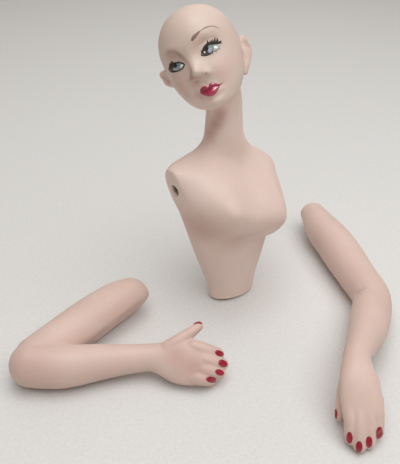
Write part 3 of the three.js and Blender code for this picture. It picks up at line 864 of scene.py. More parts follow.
# %% A socket that can be added and multiplied
class Signal:
    def __init__(self, tree, socket):
        self.tree, self.socket = tree, socket

    def node(self, kind, settings, inputs, output=0):
        """Adds a node: first its settings, then the values or links of its sockets."""
        made = self.tree.nodes.new(kind)
        for name, value in settings.items():
            setattr(made, name, value)
        for name, value in inputs.items():
            if isinstance(value, Signal):
                self.tree.links.new(value.socket, made.inputs[name])
            else:
                made.inputs[name].default_value = value
        return Signal(self.tree, made.outputs[output])

    def maths(self, operation, first, second):
        return self.node("ShaderNodeMath", {"operation": operation}, {0: first, 1: second})

    def __add__(self, other):
        return self.maths("ADD", self, other)

    def __sub__(self, other):
        return self.maths("SUBTRACT", self, other)

    def __rsub__(self, other):
        return self.maths("SUBTRACT", other, self)

    def __mul__(self, other):
        return self.maths("MULTIPLY", self, other)

    __radd__, __rmul__ = __add__, __mul__

    def clamped(self, low, high):
        """0 below low, 1 above high, and smooth between."""
        return self.node("ShaderNodeMapRange", {"interpolation_type": "SMOOTHSTEP"},
                         {"Value": self, "From Min": low, "From Max": high})

    def tint(self, plain, tinted):
        """One colour where this is 0 and another where it is 1."""
        return self.node("ShaderNodeMix", {"data_type": "RGBA"}, {0: self, 6: plain, 7: tinted}, 2)


# %% Start a material
def linear(red, green, blue):
    """A colour as seen on screen, 0 to 255, turned into the light values that shaders use."""
    values = [v / 255 for v in (red, green, blue)]
    return (*[v / 12.92 if v <= 0.04045 else ((v + 0.055) / 1.055) ** 2.4 for v in values], 1.0)


def finish(name, **constants):
    """A new material: returns it, its shader, and a Signal of the object's own coordinates."""
    material = bpy.data.materials.new(name)
    material.use_nodes = True
    tree = material.node_tree
    shader = tree.nodes["Principled BSDF"]
    for socket, value in constants.items():
        shader.inputs[socket.replace("_", " ")].default_value = value
    start = Signal(tree, None)
    return material, shader, start.node("ShaderNodeTexCoord", {}, {}, "Object")


def noise(where, scale, detail):
    """A cloudy pattern; a larger scale is finer."""
    return where.node("ShaderNodeTexNoise", {}, {"Vector": where, "Scale": scale, "Detail": detail})


def feed(shader, **signals):
    """Links signals to the shader's sockets of the same names."""
    for socket, signal in signals.items():
        signal.tree.links.new(signal.socket, shader.inputs[socket.replace("_", " ")])


# %% [markdown]
# ### Painted shade, tint and blush
# Warm brown patches are painted shade where shadows fall: beside the nose, in the nostril, under
# the mouth, on the right cheek, in the hollows of the ears, under the chin, under the breasts and
# on the right elbow. Over the eyelids the brown is partly the painter's eye shadow and partly
# painted shade. A little pink lies on the cheeks, and the back of the right hand is a warmer,
# darker tint. It could be painted on an image, but soft hills of colour around points on the
# casting need no image and no unwrapping. The edge of the waist rim is a little paler than the
# rest.

# %% Where the soft shade lies
# The dark line over the right eye's fold is partly eye shadow and partly painted shade; down the
# flank of the nose and at the nostril it is painted shade.
LID_LINE = [  # picture points along the fold over the right eye and down beside the nose
    (168, 52), (172.5, 51.4), (177, 53), (181, 56.2), (185, 60), (188.4, 64.4), (190.6, 69.5),
    (191.4, 74.5), (190.8, 79)]
LID_PATCHES, LID_REACH, LID_STRENGTH = 18, 1.5, 0.26
DARK_LID_TINT_AND_PAINTED_SHADE = [(tuple(point), LID_REACH, LID_STRENGTH)
              for point in smooth_line(LID_LINE, LID_PATCHES)]
DARK_LID_TINT_AND_PAINTED_SHADE.append(((206.2, 73.4), 1.0, 0.4))  # nostril
# Brown patches: painted shade beside the nose, under the mouth, on the right cheek, in the ears, on
# the neck under the chin and under the breasts; on the lids partly eye shadow.
BROWN_TINT_AND_PAINTED_SHADE = [  # picture point, reach in mm, strength
    ((167, 56.4), 2.6, 0.3), ((171, 55.8), 2.6, 0.34), ((176, 56.6), 2.4, 0.34),  # right lid
    ((181, 59), 2.2, 0.34),
    ((203, 38.5), 2.6, 0.24), ((198, 45), 3.0, 0.26),  # left lid
    ((193, 77.6), 2.0, 0.36), ((196, 83), 3.4, 0.36), ((198, 77.6), 1.6, 0.36),  # beside the nose
    ((203, 97.8), 2.2, 0.4), ((210, 98.4), 1.8, 0.3), ((197.6, 95), 2.4, 0.4),  # under the mouth
    ((176, 81), 5, 0.22), ((184, 92), 5, 0.25),  # right cheek
    ((163, 77), 1.5, 0.36), ((165.6, 79.4), 1.5, 0.4), ((168.4, 82), 1.6, 0.4),  # right ear
    ((246.5, 43), 1.6, 0.45), ((249, 46), 1.4, 0.4), ((241.8, 50), 1.4, 0.4),  # left ear
    ((242, 54), 1.3, 0.35),
    ((221, 113), 3.6, 0.42), ((218, 121), 4.0, 0.46), ((213, 128), 4.4, 0.46),  # neck
    ((209, 136), 4.0, 0.36),
    ((194, 226), 12, 0.24), ((214, 232), 12, 0.28), ((238, 238), 10, 0.28),  # under the breasts
]
PINK = [((224, 70), 5.5, 0.2), ((182, 84), 5.0, 0.3)]
# The back of the right hand is a warmer, darker tint; the last patch is painted shade on the right
# elbow.
HAND_TINT_AND_ELBOW_SHADE = [((172, 350), 6, 0.4), ((184, 360), 8, 0.5), ((200, 370), 6, 0.4), ((32, 358), 16, 0.3)]
RIM_PLACE, RIM_BEHIND = 0.1, 3  # the ring that is paler, and how far it goes round to the back
RIM_REACH, RIM_STRENGTH = 0.8, 0.6
rim_edge = bust_ring(RIM_PLACE, 0) + BUST_AT
rim_front = rim_edge[rim_edge[:, 1] < BUST_AT[1] + RIM_BEHIND]
RIM = [(spot, RIM_REACH, RIM_STRENGTH) for spot in rim_front[::2]]  # every second point
print(len(BROWN_TINT_AND_PAINTED_SHADE + DARK_LID_TINT_AND_PAINTED_SHADE + PINK + HAND_TINT_AND_ELBOW_SHADE + RIM), "patches of soft shade")

# %% [markdown]
# ### Bisque
# Unglazed bisque is matte with a faint sheen, a tint that is never quite even, and a very
# fine tooth. One even colour would look like plastic, so a broad noise mixes two tints, a
# finer one adds faint specks, and the finest feeds a bump. A little light scatters under the
# skin, as in thin porcelain.

# %% Bisque
CLOUD, SPECK, TOOTH = (55.0, 3.0), (420.0, 1.0), (2600.0, 2.0)  # scale and detail of each noise
CLOUD_RANGE, SPECK_RANGE = (0.3, 0.7), (0.66, 0.8)  # values of the noise that are mixed
HEAD_TINT, HEAD_TINT_SHARE = linear(209, 187, 175), 0.9
HEAD_FROM, HEAD_TO = 0.07, 0.1  # heights in metres between which the head's tint sets in
SPECK_TINT, SPECK_SHARE = linear(196, 160, 146), 0.08
ROUGH, ROUGH_CHANGE = 0.46, 0.12
TOOTH_BUMP = {"Strength": 0.06, "Distance": 0.0001}


def shaded(where, tree, patches):
    """The strength of soft patches, each strongest in its middle."""
    total = 0.0
    for place, reach, strength in patches:
        spot = place if len(place) == 3 else sighted(tree, *place)[0]
        far = where.node("ShaderNodeVectorMath", {"operation": "DISTANCE"},
                         {0: where, 1: tuple(spot * MM)}, 1)
        total = (1 - far.clamped(0.0, reach * MM)) * strength + total
    return total


def bisque(name, pale, deep, tree, tint_and_shade):
    """Bisque in two tints, with its tints and painted shade given as colours and patches."""
    material, shader, where = finish(
        name, IOR=1.5, Specular_IOR_Level=0.32, Subsurface_Weight=0.2, Subsurface_Scale=0.002,
        Subsurface_Radius=(1.0, 0.45, 0.3))
    cloud, speck, tooth = [noise(where, *fineness) for fineness in (CLOUD, SPECK, TOOTH)]
    colour = cloud.clamped(*CLOUD_RANGE).tint(deep, pale)
    height = where.node("ShaderNodeSeparateXYZ", {}, {"Vector": where}, "Z")
    colour = (height.clamped(HEAD_FROM, HEAD_TO) * HEAD_TINT_SHARE).tint(colour, HEAD_TINT)
    colour = (speck.clamped(*SPECK_RANGE) * SPECK_SHARE).tint(colour, SPECK_TINT)
    for hue, patches in tint_and_shade:
        colour = shaded(where, tree, patches).tint(colour, hue)
    bump = where.node("ShaderNodeBump", {}, {"Height": tooth, **TOOTH_BUMP})
    feed(shader, Base_Color=colour, Roughness=cloud * ROUGH_CHANGE + ROUGH, Normal=bump)
    return material


# %% Bisque on the castings
BUST_TINTS = linear(231, 208, 199), linear(226, 201, 190)
ARM_TINTS = linear(217, 191, 180), linear(212, 184, 172)
# The face's patches are partly the painter's tints and blush and partly painted shade.
FACE_TINT_AND_PAINTED_SHADE = [
    (linear(176, 128, 116), BROWN_TINT_AND_PAINTED_SHADE), (linear(140, 100, 90), DARK_LID_TINT_AND_PAINTED_SHADE),
    (linear(222, 168, 158), PINK), (linear(244, 224, 213), RIM)]
HAND_TINT_AND_PAINTED_SHADE = [(linear(190, 148, 135), HAND_TINT_AND_ELBOW_SHADE)]

bust_tree = surface(bust)
for casting, name, tints, tree, tint_and_shade in (
    (bust, "bust_bisque", BUST_TINTS, bust_tree, FACE_TINT_AND_PAINTED_SHADE),
    (right_arm, "right_arm_bisque", ARM_TINTS, surface(right_arm), HAND_TINT_AND_PAINTED_SHADE),
    (left_arm, "left_arm_bisque", ARM_TINTS, None, []),
):
    casting.data.materials.clear()
    casting.data.materials.append(bisque(name, *tints, tree, tint_and_shade))
    print(name, "on", casting.name)

# %% [markdown]
# ## Painted features
# The eyes, brows, lashes and lips are china paint on the bisque. They could be mixed into the
# bisque's colour, but fine lashes need crisp edges. So each is a thin film that lies on the
# casting: its outline is drawn as the camera sees it, filled with small triangles, and every
# point is sighted onto the surface. The film's under side is sunk into the casting, so it is
# a closed body and shows no gap from any side.

# %% Outlines of brush strokes
THINNEST = 0.12  # no stroke is thinner, in pixels
FINE_STROKE = 16  # points along a lash


def ribbon(points, widths, count=24):
    """The outline of a brush stroke, from its middle line and its widths."""
    line = smooth_line(points, count)
    wide = smooth_line(np.asarray(widths, float)[:, None], count)
    ahead = unit(np.gradient(line, axis=0))
    aside = np.stack([-ahead[:, 1], ahead[:, 0]], axis=1) * np.maximum(wide, THINNEST) / 2
    return np.concatenate([line + aside, (line - aside)[::-1]])


def strokes(items):
    """Outlines of several fine strokes, each given as a line and its widths."""
    return [ribbon(line, widths, FINE_STROKE) for line, widths in items]


def closed(points, count=60):
    """A smooth closed outline through the given points."""
    points = np.asarray(points, float)
    looped = np.concatenate([points[-2:], points, points[:3]])
    return between(looped, np.linspace(2, len(points) + 2, count, endpoint=False))


def disc(across, down, wide, tall, lean=0.0, count=32):
    """An oval outline that leans by some degrees."""
    turn = np.linspace(0, 2 * np.pi, count, endpoint=False)
    x, y = wide * np.cos(turn), tall * np.sin(turn)
    c, s = math.cos(math.radians(lean)), math.sin(math.radians(lean))
    return np.stack([across + c * x - s * y, down + s * x + c * y], axis=1)


# %% A film of paint on the bust
EDGE_GAP = 0.4  # inner points keep this share of the grid from the outline
SUNK = 0.08  # how far the under side is sunk into the bisque
MERGE_WITHIN = 1e-5  # points closer than this become one, in pixels


def filled(outline, grid):
    """Small triangles that fill an outline: their corners, and three numbers for each."""
    low, high = outline.min(axis=0), outline.max(axis=0)
    columns, rows = [np.arange(a, b, grid) for a, b in zip(low, high)]
    inner = np.stack(np.meshgrid(columns, rows), axis=-1).reshape(-1, 2)
    gap = distances(inner, outline).min(axis=1)
    flat = [Vector(p) for p in np.concatenate([outline, inner[gap > EDGE_GAP * grid]])]
    loop = [(k, (k + 1) % len(outline)) for k in range(len(outline))]
    corners, _, tris, *_ = delaunay_2d_cdt(flat, loop, [], 1, MERGE_WITHIN)
    return np.array([tuple(p) for p in corners]), tris


def film(outline, lift, dome, soft, grid):
    """Points and faces of one film of paint, sighted onto the bust and closed."""
    corners, tris = filled(outline, grid)
    seen = [sighted(bust_tree, *point) for point in corners]
    hit = [spot is not None for spot, _ in seen]
    tris = [t[::-1] for t in tris if all(hit[k] for k in t)]
    place = np.array([spot if spot is not None else np.zeros(3) for spot, _ in seen])
    normal = np.array([facing if facing is not None else np.zeros(3) for _, facing in seen])
    from_edge = distances(corners, outline).min(axis=1)
    top = place + normal * (lift + dome * (1 - np.exp(-from_edge / soft)))[:, None]
    n = len(corners)
    faces = [list(t) for t in tris] + [[n + k for k in t[::-1]] for t in tris]
    sides = sorted({(a, b) for t in tris for a, b in zip(t, [*t[1:], t[0]])})
    both = set(sides)
    faces += [[b, a, n + a, n + b] for a, b in sides if (b, a) not in both]
    return np.concatenate([top, place - normal * SUNK]), faces


def paint(name, material, outlines, lift, dome=0.0, soft=1.2, grid=0.9):
    """One painted piece: films that stand off the bisque by lift, and by dome in the middle."""
    points, faces = merged([film(outline, lift, dome, soft, grid) for outline in outlines])
    thing = make_mesh(name, points, faces)
    thing.data.materials.append(material)
    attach(thing, "bust")
    return thing


def paint_all(rows):
    """Paints the rows of a table in their order: piece, paint, outlines, lift and the rest."""
    return {row[0]: paint(*row) for row in rows}


# %% [markdown]
# ### Paint colours
# China paint is thin and uneven, so each colour wanders a little between two tones. The eyes
# and the lips are glossier than the brows and lashes, which sink into the bisque.

# %% Paint colours
PAINT_DETAIL = 2.0


def plain_paint(name, colour, other, scale, **constants):
    """A paint whose tone wanders a little between two colours."""
    material, shader, where = finish(name, **constants)
    cloud = noise(where, scale, PAINT_DETAIL).clamped(*CLOUD_RANGE)
    feed(shader, Base_Color=cloud.tint(linear(*colour), linear(*other)))
    return material


eye_white = plain_paint("eye_white", (150, 155, 146), (182, 186, 177), scale=700.0, Roughness=0.3)
iris_brown = plain_paint("iris_brown", (56, 52, 43), (80, 74, 62), scale=900.0,
                         Roughness=0.45, Specular_IOR_Level=0.25)
iris_blue = plain_paint("iris_blue", (136, 142, 154), (160, 163, 178), scale=1500.0, Roughness=0.3)
iris_teal = plain_paint("iris_teal", (106, 126, 126), (132, 152, 152), scale=1500.0, Roughness=0.3)
lash_black = plain_paint("lash_black", (34, 27, 20), (58, 46, 37), scale=1300.0,
                         Roughness=0.55, Specular_IOR_Level=0.2)
lash_brown = plain_paint("lash_brown", (82, 62, 53), (116, 92, 80), scale=1300.0, Roughness=0.55)
lash_faint = plain_paint("lash_faint", (126, 120, 106), (150, 142, 128), scale=900.0, Roughness=0.5)
pupil_black = plain_paint("pupil_black", (18, 15, 13), (28, 24, 21), scale=900.0,
                          Roughness=0.5, Specular_IOR_Level=0.2)
glint_white = plain_paint("glint_white", (236, 240, 232), (246, 249, 243), scale=900.0, Roughness=0.3)
brow_brown = plain_paint("brow_brown", (118, 94, 86), (142, 116, 106), scale=900.0, Roughness=0.6)
brow_faint = plain_paint("brow_faint", (146, 122, 112), (166, 140, 129), scale=900.0, Roughness=0.6)
upper_red = plain_paint("upper_red", (136, 28, 54), (168, 48, 78), scale=420.0,
                        Roughness=0.32, Coat_Weight=0.2)
lower_red = plain_paint("lower_red", (160, 34, 64), (192, 62, 94), scale=420.0,
                        Roughness=0.16, Coat_Weight=0.7)
# Painted shade: the dark red of the line where the lips part.
mouth_shade_line = plain_paint("mouth_shade_line", (112, 18, 40), (130, 26, 50), scale=900.0, Roughness=0.3)
print("paints mixed")

# %% [markdown]
# ### Eyes
# Each eye is an almond of white with a blue-grey iris that looks to the doll's right, a black
# pupil, painted highlights, a heavy upper lash line with separate lashes and a finer lower line.
# The painter works from the white up to the lights, and so does each table: every layer lies
# a few hundredths of a millimetre over the one before.

# %% Left eye
LEFT_EYE = [  # piece, paint, outlines in picture points, lift in mm
    ("left_eye_white", eye_white, [closed([
        (201.8, 54.8), (202.6, 51), (204.4, 47.6), (207, 45), (210.5, 43.8), (215, 43.4),
        (220, 43.4), (219.6, 46.4), (217, 49.6), (213.6, 51.7), (210, 54), (205.4, 55.4)])], 0.02),
    ("left_iris_ring", iris_brown, [closed([
        (202.4, 54.3), (203, 51), (205, 47.4), (208, 45), (211.6, 44.4), (213.1, 47),
        (213.2, 50.4), (211, 53), (207, 54.7)])], 0.04),
    ("left_iris", iris_blue, [disc(210.1, 49.6, 2.6, 3.7, 12)], 0.06),
    ("left_iris_shade", iris_teal, [closed([
        (207.6, 47.4), (208.6, 45.6), (211.4, 45), (212.7, 46.8), (212.4, 47.6), (210, 47)])], 0.07),
    ("left_pupil", pupil_black, [disc(206.8, 48.5, 1.6, 2.5, 12)], 0.08),
    # Painted highlights in white.
    ("left_eye_glints", glint_white, [disc(204.5, 52.4, 0.8, 0.8), closed([
        (213.6, 47.4), (215, 46), (216.8, 46.6), (218, 47.8), (216.4, 48.6), (214.4, 49)])], 0.1),
]
paint_all(LEFT_EYE)
print("left eye:", len(LEFT_EYE), "pieces")

# %% Left lashes
LEFT_LASHES = [  # piece, paint, strokes as picture points and widths in pixels, lift in mm
    ("left_upper_lashes", lash_black, strokes([
        ([(201.4, 54.8), (202.4, 51.2), (204.5, 47.4), (207.4, 44.6), (211.2, 43.3), (215, 43),
          (218.4, 42.8), (221.4, 41.4)], [0.8, 1.7, 2.6, 3.0, 2.9, 2.9, 2.4, 0.6]),
        ([(208.6, 44.4), (207.8, 42.6), (207.2, 40.4)], [2.4, 1.7, 0.5]),
        ([(211, 43.4), (211.2, 41.4), (210.8, 39.8)], [2.2, 1.4, 0.4]),
        ([(214, 43), (214.4, 40.4), (214.3, 37.8)], [2.4, 1.4, 0.4]),
        ([(216.6, 42.8), (217.4, 40.6), (217.4, 38.2)], [2.6, 1.8, 0.4]),
        ([(219, 42.8), (220.6, 41.4), (221.2, 40.6)], [2.2, 1.4, 0.4]),
    ]), 0.09),
    ("left_fine_lashes", lash_brown, strokes([
        ([(209.8, 43.4), (209.8, 41.6), (209.4, 40.6)], [1.2, 0.8, 0.2]),
        ([(212.6, 42.8), (212.6, 40.4), (212.2, 38.8)], [1.3, 0.9, 0.2]),
        ([(215.4, 42.4), (215.9, 39.6), (215.8, 37)], [1.3, 0.9, 0.2]),
        ([(202.4, 52), (201.2, 51.6), (200.6, 50.6)], [1.2, 0.8, 0.2]),
        ([(219.8, 43.4), (221.2, 43.2), (222.4, 42.6)], [1.0, 0.7, 0.2]),
    ]), 0.08),
    ("left_lower_lashes", lash_black, strokes([
        ([(201.2, 55.4), (204.6, 55.6), (208.6, 54.6), (212, 52.4), (213.2, 50.6)],
         [0.9, 1.2, 1.2, 1.1, 0.4]),
    ]), 0.09),
    ("left_lower_line", lash_faint, strokes([
        ([(212, 52.4), (215, 51), (217.4, 49.6), (219.4, 47.4)], [0.9, 1.1, 0.9, 0.4]),
        ([(209.6, 54.4), (210.6, 55), (211.2, 55.8)], [0.8, 0.6, 0.2]),
        ([(212.4, 53), (213.4, 53.8), (214, 54.8)], [0.8, 0.6, 0.2]),
        ([(215.4, 51), (216.4, 51.8), (217, 52.6)], [0.8, 0.6, 0.2]),
        ([(218.4, 48.6), (219.6, 49), (220.6, 49.6)], [0.8, 0.6, 0.2]),
    ]), 0.07),
]
paint_all(LEFT_LASHES)
print("left lashes:", len(LEFT_LASHES), "pieces")

# %% Right eye
RIGHT_EYE = [  # piece, paint, outlines in picture points, lift in mm
    ("right_eye_white", eye_white, [closed([
        (169.8, 70.4), (170.6, 66), (173, 63.2), (177, 62.4), (181, 62.6), (184.4, 64.4),
        (183.4, 68), (180.4, 70.6), (176, 72), (171.6, 72)])], 0.02),
    ("right_iris_ring", iris_brown, [disc(174.6, 67.2, 4.4, 4.6)], 0.04),
    ("right_iris", iris_teal, [disc(177.5, 66.8, 2.9, 3.7, 30)], 0.06),
    ("right_iris_light", iris_blue, [closed([
        (174.8, 69.8), (176.4, 67.6), (179, 66.8), (179.8, 68.2), (177.8, 70.2), (175.6, 70.8)])],
     0.07),
    ("right_pupil", pupil_black, [disc(175.6, 65.7, 1.6, 1.9)], 0.08),
    # Painted highlight in white.
    ("right_eye_glints", glint_white, [closed([
        (180.3, 66.6), (181.2, 64.7), (182.7, 64.5), (183.1, 65.9), (182, 67.2), (180.6, 67.7)])],
     0.1),
    ("right_eye_light", eye_white, [disc(174.2, 69.1, 1.2, 1.0)], 0.1),
]
paint_all(RIGHT_EYE)
print("right eye:", len(RIGHT_EYE), "pieces")

# %% Right lashes
RIGHT_LASHES = [  # piece, paint, strokes as picture points and widths in pixels, lift in mm
    ("right_upper_lashes", lash_black, strokes([
        ([(170, 69.4), (170.2, 67), (171.6, 64.8), (173.8, 63.3), (177.4, 62.7), (181, 62.8),
          (183.6, 63.8), (185, 65)], [0.8, 1.7, 2.2, 1.9, 1.4, 1.4, 1.4, 0.5]),
        ([(171, 66), (169.8, 65.6), (168.9, 65.4)], [1.2, 0.8, 0.2]),
        ([(171.6, 64.8), (170.4, 63.6), (169.6, 62.9)], [1.3, 0.9, 0.2]),
        ([(173.2, 63.8), (172.2, 62), (171.5, 60.7)], [1.4, 0.9, 0.2]),
    ]), 0.09),
    ("right_fine_lashes", lash_brown, strokes([
        ([(169.4, 66.6), (169.8, 69.4), (171.4, 72)], [1.0, 2.2, 1.4]),
        ([(170.8, 65.4), (169.7, 64.6), (168.8, 64)], [1.0, 0.7, 0.2]),
        ([(172.4, 64.2), (171.2, 62.6), (170.4, 61.6)], [1.0, 0.7, 0.2]),
        ([(178.6, 62.4), (178.8, 61.2), (178.8, 60.4)], [0.8, 0.6, 0.2]),
    ]), 0.07),
    ("right_lower_lashes", lash_black, strokes([
        ([(170.8, 71.6), (172.8, 72), (175.8, 71.6), (179.4, 70.4), (182.4, 68.6), (183.9, 66.4),
          (184.6, 64.8)], [0.8, 1.3, 1.2, 1.1, 1.1, 1.0, 0.5]),
    ]), 0.09),
]
paint_all(RIGHT_LASHES)
print("right lashes:", len(RIGHT_LASHES), "pieces")

# %% [markdown]
# ### Brows and lips
# The left brow is a firm brush stroke, broad at its inner end and drawn out thin and pale over
# the eye. The right one is only a soft brown above its eye, partly brow paint and partly painted
# shade, which the bisque's patches already give. The lips are glossy crimson, full and narrow,
# with a line of painted shade where they part. A flat film would look like a sticker, so the film
# of each lip is domed to catch the light.

# %% Left brow
LEFT_BROW = [  # piece, paint, outlines in picture points, lift in mm
    ("left_brow", brow_brown, [ribbon(
        [(191.6, 41), (193.8, 37.4), (197, 33.8), (200.6, 30.6)], [1.8, 3.5, 2.8, 0.9], count=30)],
     0.03),
    ("left_brow_tail", brow_faint, [ribbon(
        [(199.4, 31.6), (205, 27.8), (210, 26.2), (214.6, 26.5), (219.6, 28.6)],
        [0.9, 1.2, 1.1, 0.9, 0.3], count=40)], 0.04),
]
paint_all(LEFT_BROW)
print("left brow:", len(LEFT_BROW), "pieces")

# %% Lips
UPPER_LIP = [  # picture points
    (200, 92.2), (200.6, 88.8), (202.8, 86.6), (206, 86.1), (208.2, 86.9), (209.2, 84.4),
    (211.6, 82.7), (215, 82.8), (218.6, 84.0), (223.4, 82.8), (218.4, 85.8), (213, 87),
    (208.6, 89.6), (204, 91.6)]
LOWER_LIP = [
    (200.2, 92.6), (204, 91.6), (208.6, 89.6), (213, 87), (218.4, 85.8), (220.6, 84.8),
    (218.8, 88.2), (217, 92), (214, 95.2), (209.6, 96.6), (205, 95.9), (201.8, 94.4)]
# Painted shade along the parting of the lips.
BETWEEN_LIPS = [(201.4, 91.9), (204, 91.4), (208.6, 89.5), (213, 87), (218, 85.7)]
BETWEEN_WIDTHS = [0.3, 0.7, 0.8, 0.6, 0.3]
LIP_POINTS = 80
LIPS = [  # piece, paint, outlines, lift and dome in mm, softness of the dome and grid in pixels
    ("upper_lip", upper_red, [closed(UPPER_LIP, LIP_POINTS)], 0.03, 0.3, 1.6, 0.7),
    ("lower_lip", lower_red, [closed(LOWER_LIP, LIP_POINTS)], 0.03, 0.45, 2.2, 0.7),
    ("mouth_shade_line", mouth_shade_line, [ribbon(BETWEEN_LIPS, BETWEEN_WIDTHS)], 0.12),
]
painted_lips = paint_all(LIPS)
print("lips:", len(LIPS), "pieces")

# %% [markdown]
# ### Nails
# The nails are the same glossy red on every finger. They could be a colour of the hand's
# skin, but real ones are a thick drop of paint. So each is a small domed oval near the tip, on
# the back of the finger, laid onto the fused hand from outside.

# %% Shape of a nail
NAIL_RINGS, NAIL_AROUND = 8, 28
NAIL_FROM, NAIL_DROP = 6, 7  # a nail starts this far over the finger and drops at most this far
NAIL_EDGE, NAIL_DOME, NAIL_SUNK = 0.04, 0.26, 0.12


def nail(tree, tip, root, back, along, aside, reach, wide):
    """One nail: an oval in the finger's own directions, dropped onto the hand."""
    tip, root = on_table(*tip), on_table(*root)
    back = on_table(*back) - on_table(0, 0, 0)
    ahead = unit(tip - root)
    back = unit(back - ahead * (back @ ahead))
    side = np.cross(ahead, back)
    middle = tip + ahead * along + side * aside
    top, under = [], []
    for share in np.arange(NAIL_RINGS + 1) / NAIL_RINGS:
        for turn in 2 * np.pi * np.arange(NAIL_AROUND) / NAIL_AROUND:
            spot = middle + ahead * reach * share * math.cos(turn)
            spot = spot + side * wide * share * math.sin(turn)
            start = Vector((spot + back * NAIL_FROM) * MM)
            hit, normal, _, _ = tree.ray_cast(start, Vector(-back), NAIL_DROP * MM)
            if hit is None:
                hit, normal, _, _ = tree.find_nearest(Vector(spot * MM))
            hit, normal = np.array(hit) / MM, np.array(normal)
            top.append(hit + normal * (NAIL_EDGE + NAIL_DOME * (1 - share ** 4)))
            under.append(hit - normal * NAIL_SUNK)
    half = len(top)
    faces = skin_faces(NAIL_RINGS + 1, NAIL_AROUND)
    faces += skin_faces(NAIL_RINGS + 1, NAIL_AROUND, half, True)
    last = NAIL_RINGS * NAIL_AROUND
    for j in range(NAIL_AROUND):
        k = (j + 1) % NAIL_AROUND
        faces.append([last + j, half + last + j, half + last + k, last + k])
    return np.array(top + under), faces


# %% Nails on both hands
NAIL_ROUNDS = 5
RIGHT_NAILS = [  # along the finger from its tip, aside, reach, half width
    (0.0, 0, 1.8, 1.0), (-0.2, 0, 1.8, 1.2), (-0.2, 0, 1.7, 1.0), (0.0, 0, 2.1, 1.0)]
RIGHT_THUMB_NAIL = [-0.3, 0.75, 0.6], 0.4, 0, 1.7, 1.1  # its facing, then the same
LEFT_NAILS = [
    (0, 0.9, 1.7, 0.85), (0.5, 0.5, 1.7, 0.95), (0, 0.35, 1.7, 1.05), (0, -0.2, 1.9, 1.2)]
LEFT_THUMB_NAIL = [-1, 0, 0], -0.4, 0, 1.5, 0.9
nail_red = plain_paint("nail_red", (142, 10, 36), (168, 20, 50), scale=700.0,
                       Roughness=0.22, Coat_Weight=0.3)


def finger_nails(tips, roots, back, sizes):
    """What nail() needs for each of the four fingers."""
    return [(tip, root, back, *size) for tip, root, size in zip(tips, roots, sizes)]


def nails(name, arm, body, specs):
    """All the nails of one hand as one piece."""
    tree = surface(arm)
    points, faces = merged([nail(tree, *spec) for spec in specs])
    thing = make_mesh(name, points, faces)
    relax(thing, NAIL_ROUNDS)
    thing.data.materials.append(nail_red)
    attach(thing, body)
    return thing


right_specs = finger_nails(RIGHT_TIPS, RIGHT_ROOTS, RIGHT_BACK, RIGHT_NAILS)
right_specs.append((*reversed(RIGHT_THUMB), *RIGHT_THUMB_NAIL))
nails("right_nails", right_arm, "right_arm", right_specs)
left_specs = finger_nails(LEFT_TIPS, LEFT_ROOTS, LEFT_BACK, LEFT_NAILS)
left_specs.append((*reversed(LEFT_THUMB), *LEFT_THUMB_NAIL))
nails("left_nails", left_arm, "left_arm", left_specs)
print(len(right_specs) + len(left_specs), "nails painted")

# %% [markdown]
# ## Floor
# A plain pale floor catches the shadows. It is far larger than the picture, so that its edges
# never show, and it lies a hair below the castings, so that the two don't flicker where they
# touch.

# %% Floor
FLOOR_HALF = 2400
FLOOR_BELOW = 0.02
FLOOR_TONES = linear(216, 215, 212), linear(222, 221, 219)
GRAIN, GRAIN_RANGE = (900.0, 2.0), (0.25, 0.75)
CORNERS = (-1, -1), (1, -1), (1, 1), (-1, 1)

floor_spots = [on_table(x * FLOOR_HALF, y * FLOOR_HALF, -FLOOR_BELOW) for x, y in CORNERS]
floor = make_mesh("floor", floor_spots, [[0, 1, 2, 3]])
pale_floor, floor_shader, where = finish("pale_floor", Roughness=0.85)
grain = noise(where, *GRAIN).clamped(*GRAIN_RANGE)
feed(floor_shader, Base_Color=grain.tint(*FLOOR_TONES))
floor.data.materials.append(pale_floor)
print("floor laid,", 2 * FLOOR_HALF, "mm wide")

# %% [markdown]
# ## Light
# One large soft lamp high on the photograph's right gives the shading, a weaker one behind
# lights the floor and the back of the doll, and an even pale surround fills the rest. An image
# of a room would light it too, but lamps can be moved one at a time until the tones fit.

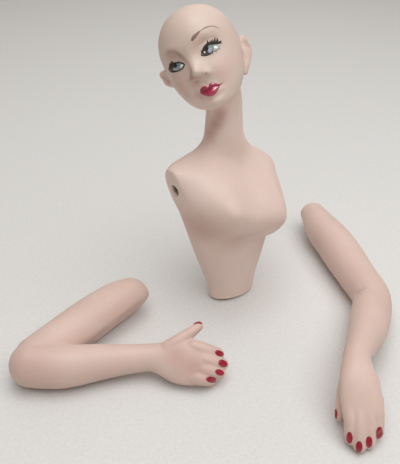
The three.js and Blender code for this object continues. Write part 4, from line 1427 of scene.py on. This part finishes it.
# %% Light
SURROUND, SURROUND_STRENGTH = (1.0, 0.95, 0.9, 1), 0.3
LAMPS = [  # name, place and target as right, away and up, size in mm, power in watts, colour
    ("key", (100, -150, 560), (0, 0, 40), 760, 3.1, (0.99, 0.995, 1.0)),
    ("back", (0, 420, 520), (0, 150, 0), 800, 0.9, (1.0, 0.99, 0.97)),
]

scene.view_settings.view_transform = "Standard"
world = bpy.data.worlds.new("surround")
scene.world = world
world.use_nodes = True
background = world.node_tree.nodes["Background"]
background.inputs["Color"].default_value = SURROUND
background.inputs["Strength"].default_value = SURROUND_STRENGTH


def lamp(name, place, target, size, power, colour):
    """A round area lamp that faces its target."""
    light = bpy.data.lights.new(name, "AREA")
    light.shape, light.size, light.energy, light.color = "DISK", size * MM, power, colour
    thing = bpy.data.objects.new(name, light)
    thing.location = Vector(place * MM)
    thing.rotation_euler = Vector(target - place).to_track_quat("-Z", "Y").to_euler()
    scene.collection.objects.link(thing)
    return thing


for name, place, target, size, power, colour in LAMPS:
    lamp(name, on_table(*place), on_table(*target), size, power, colour)
print(len(LAMPS), "lamps and a surround")

# %% [markdown]
# ## Catch light
# In the photograph the lower lip has one bright point, the image of a lamp in its gloss. A
# white dot of paint would stay put when the camera moves, so a small lamp is set where the lip
# mirrors it to the camera. Only gloss sees it, so it doesn't change the shading.

# %% Catch light
LIP_SHINE = [(213.4, 88), (214.4, 87.5), (215.4, 87.2), (214.4, 88.1)]  # picture points
CATCH_AWAY, CATCH_SIZE, CATCH_POWER = 450, 160, 1.6
WHITE = (1.0, 1.0, 1.0)

lip_tree = surface(painted_lips["lower_lip"])
seen = [sighted(lip_tree, *point) for point in LIP_SHINE]
spot = np.mean([place for place, _ in seen], axis=0)
normal = unit(np.sum([facing for _, facing in seen], axis=0))
to_camera = unit(np.array(camera.location) / MM - spot)
away = 2 * (to_camera @ normal) * normal - to_camera
catch = lamp("catch_light", spot + CATCH_AWAY * away, spot, CATCH_SIZE, CATCH_POWER, WHITE)
catch.visible_diffuse = False
print("catch light stands towards", np.round(away, 2).tolist(), "from the lips")
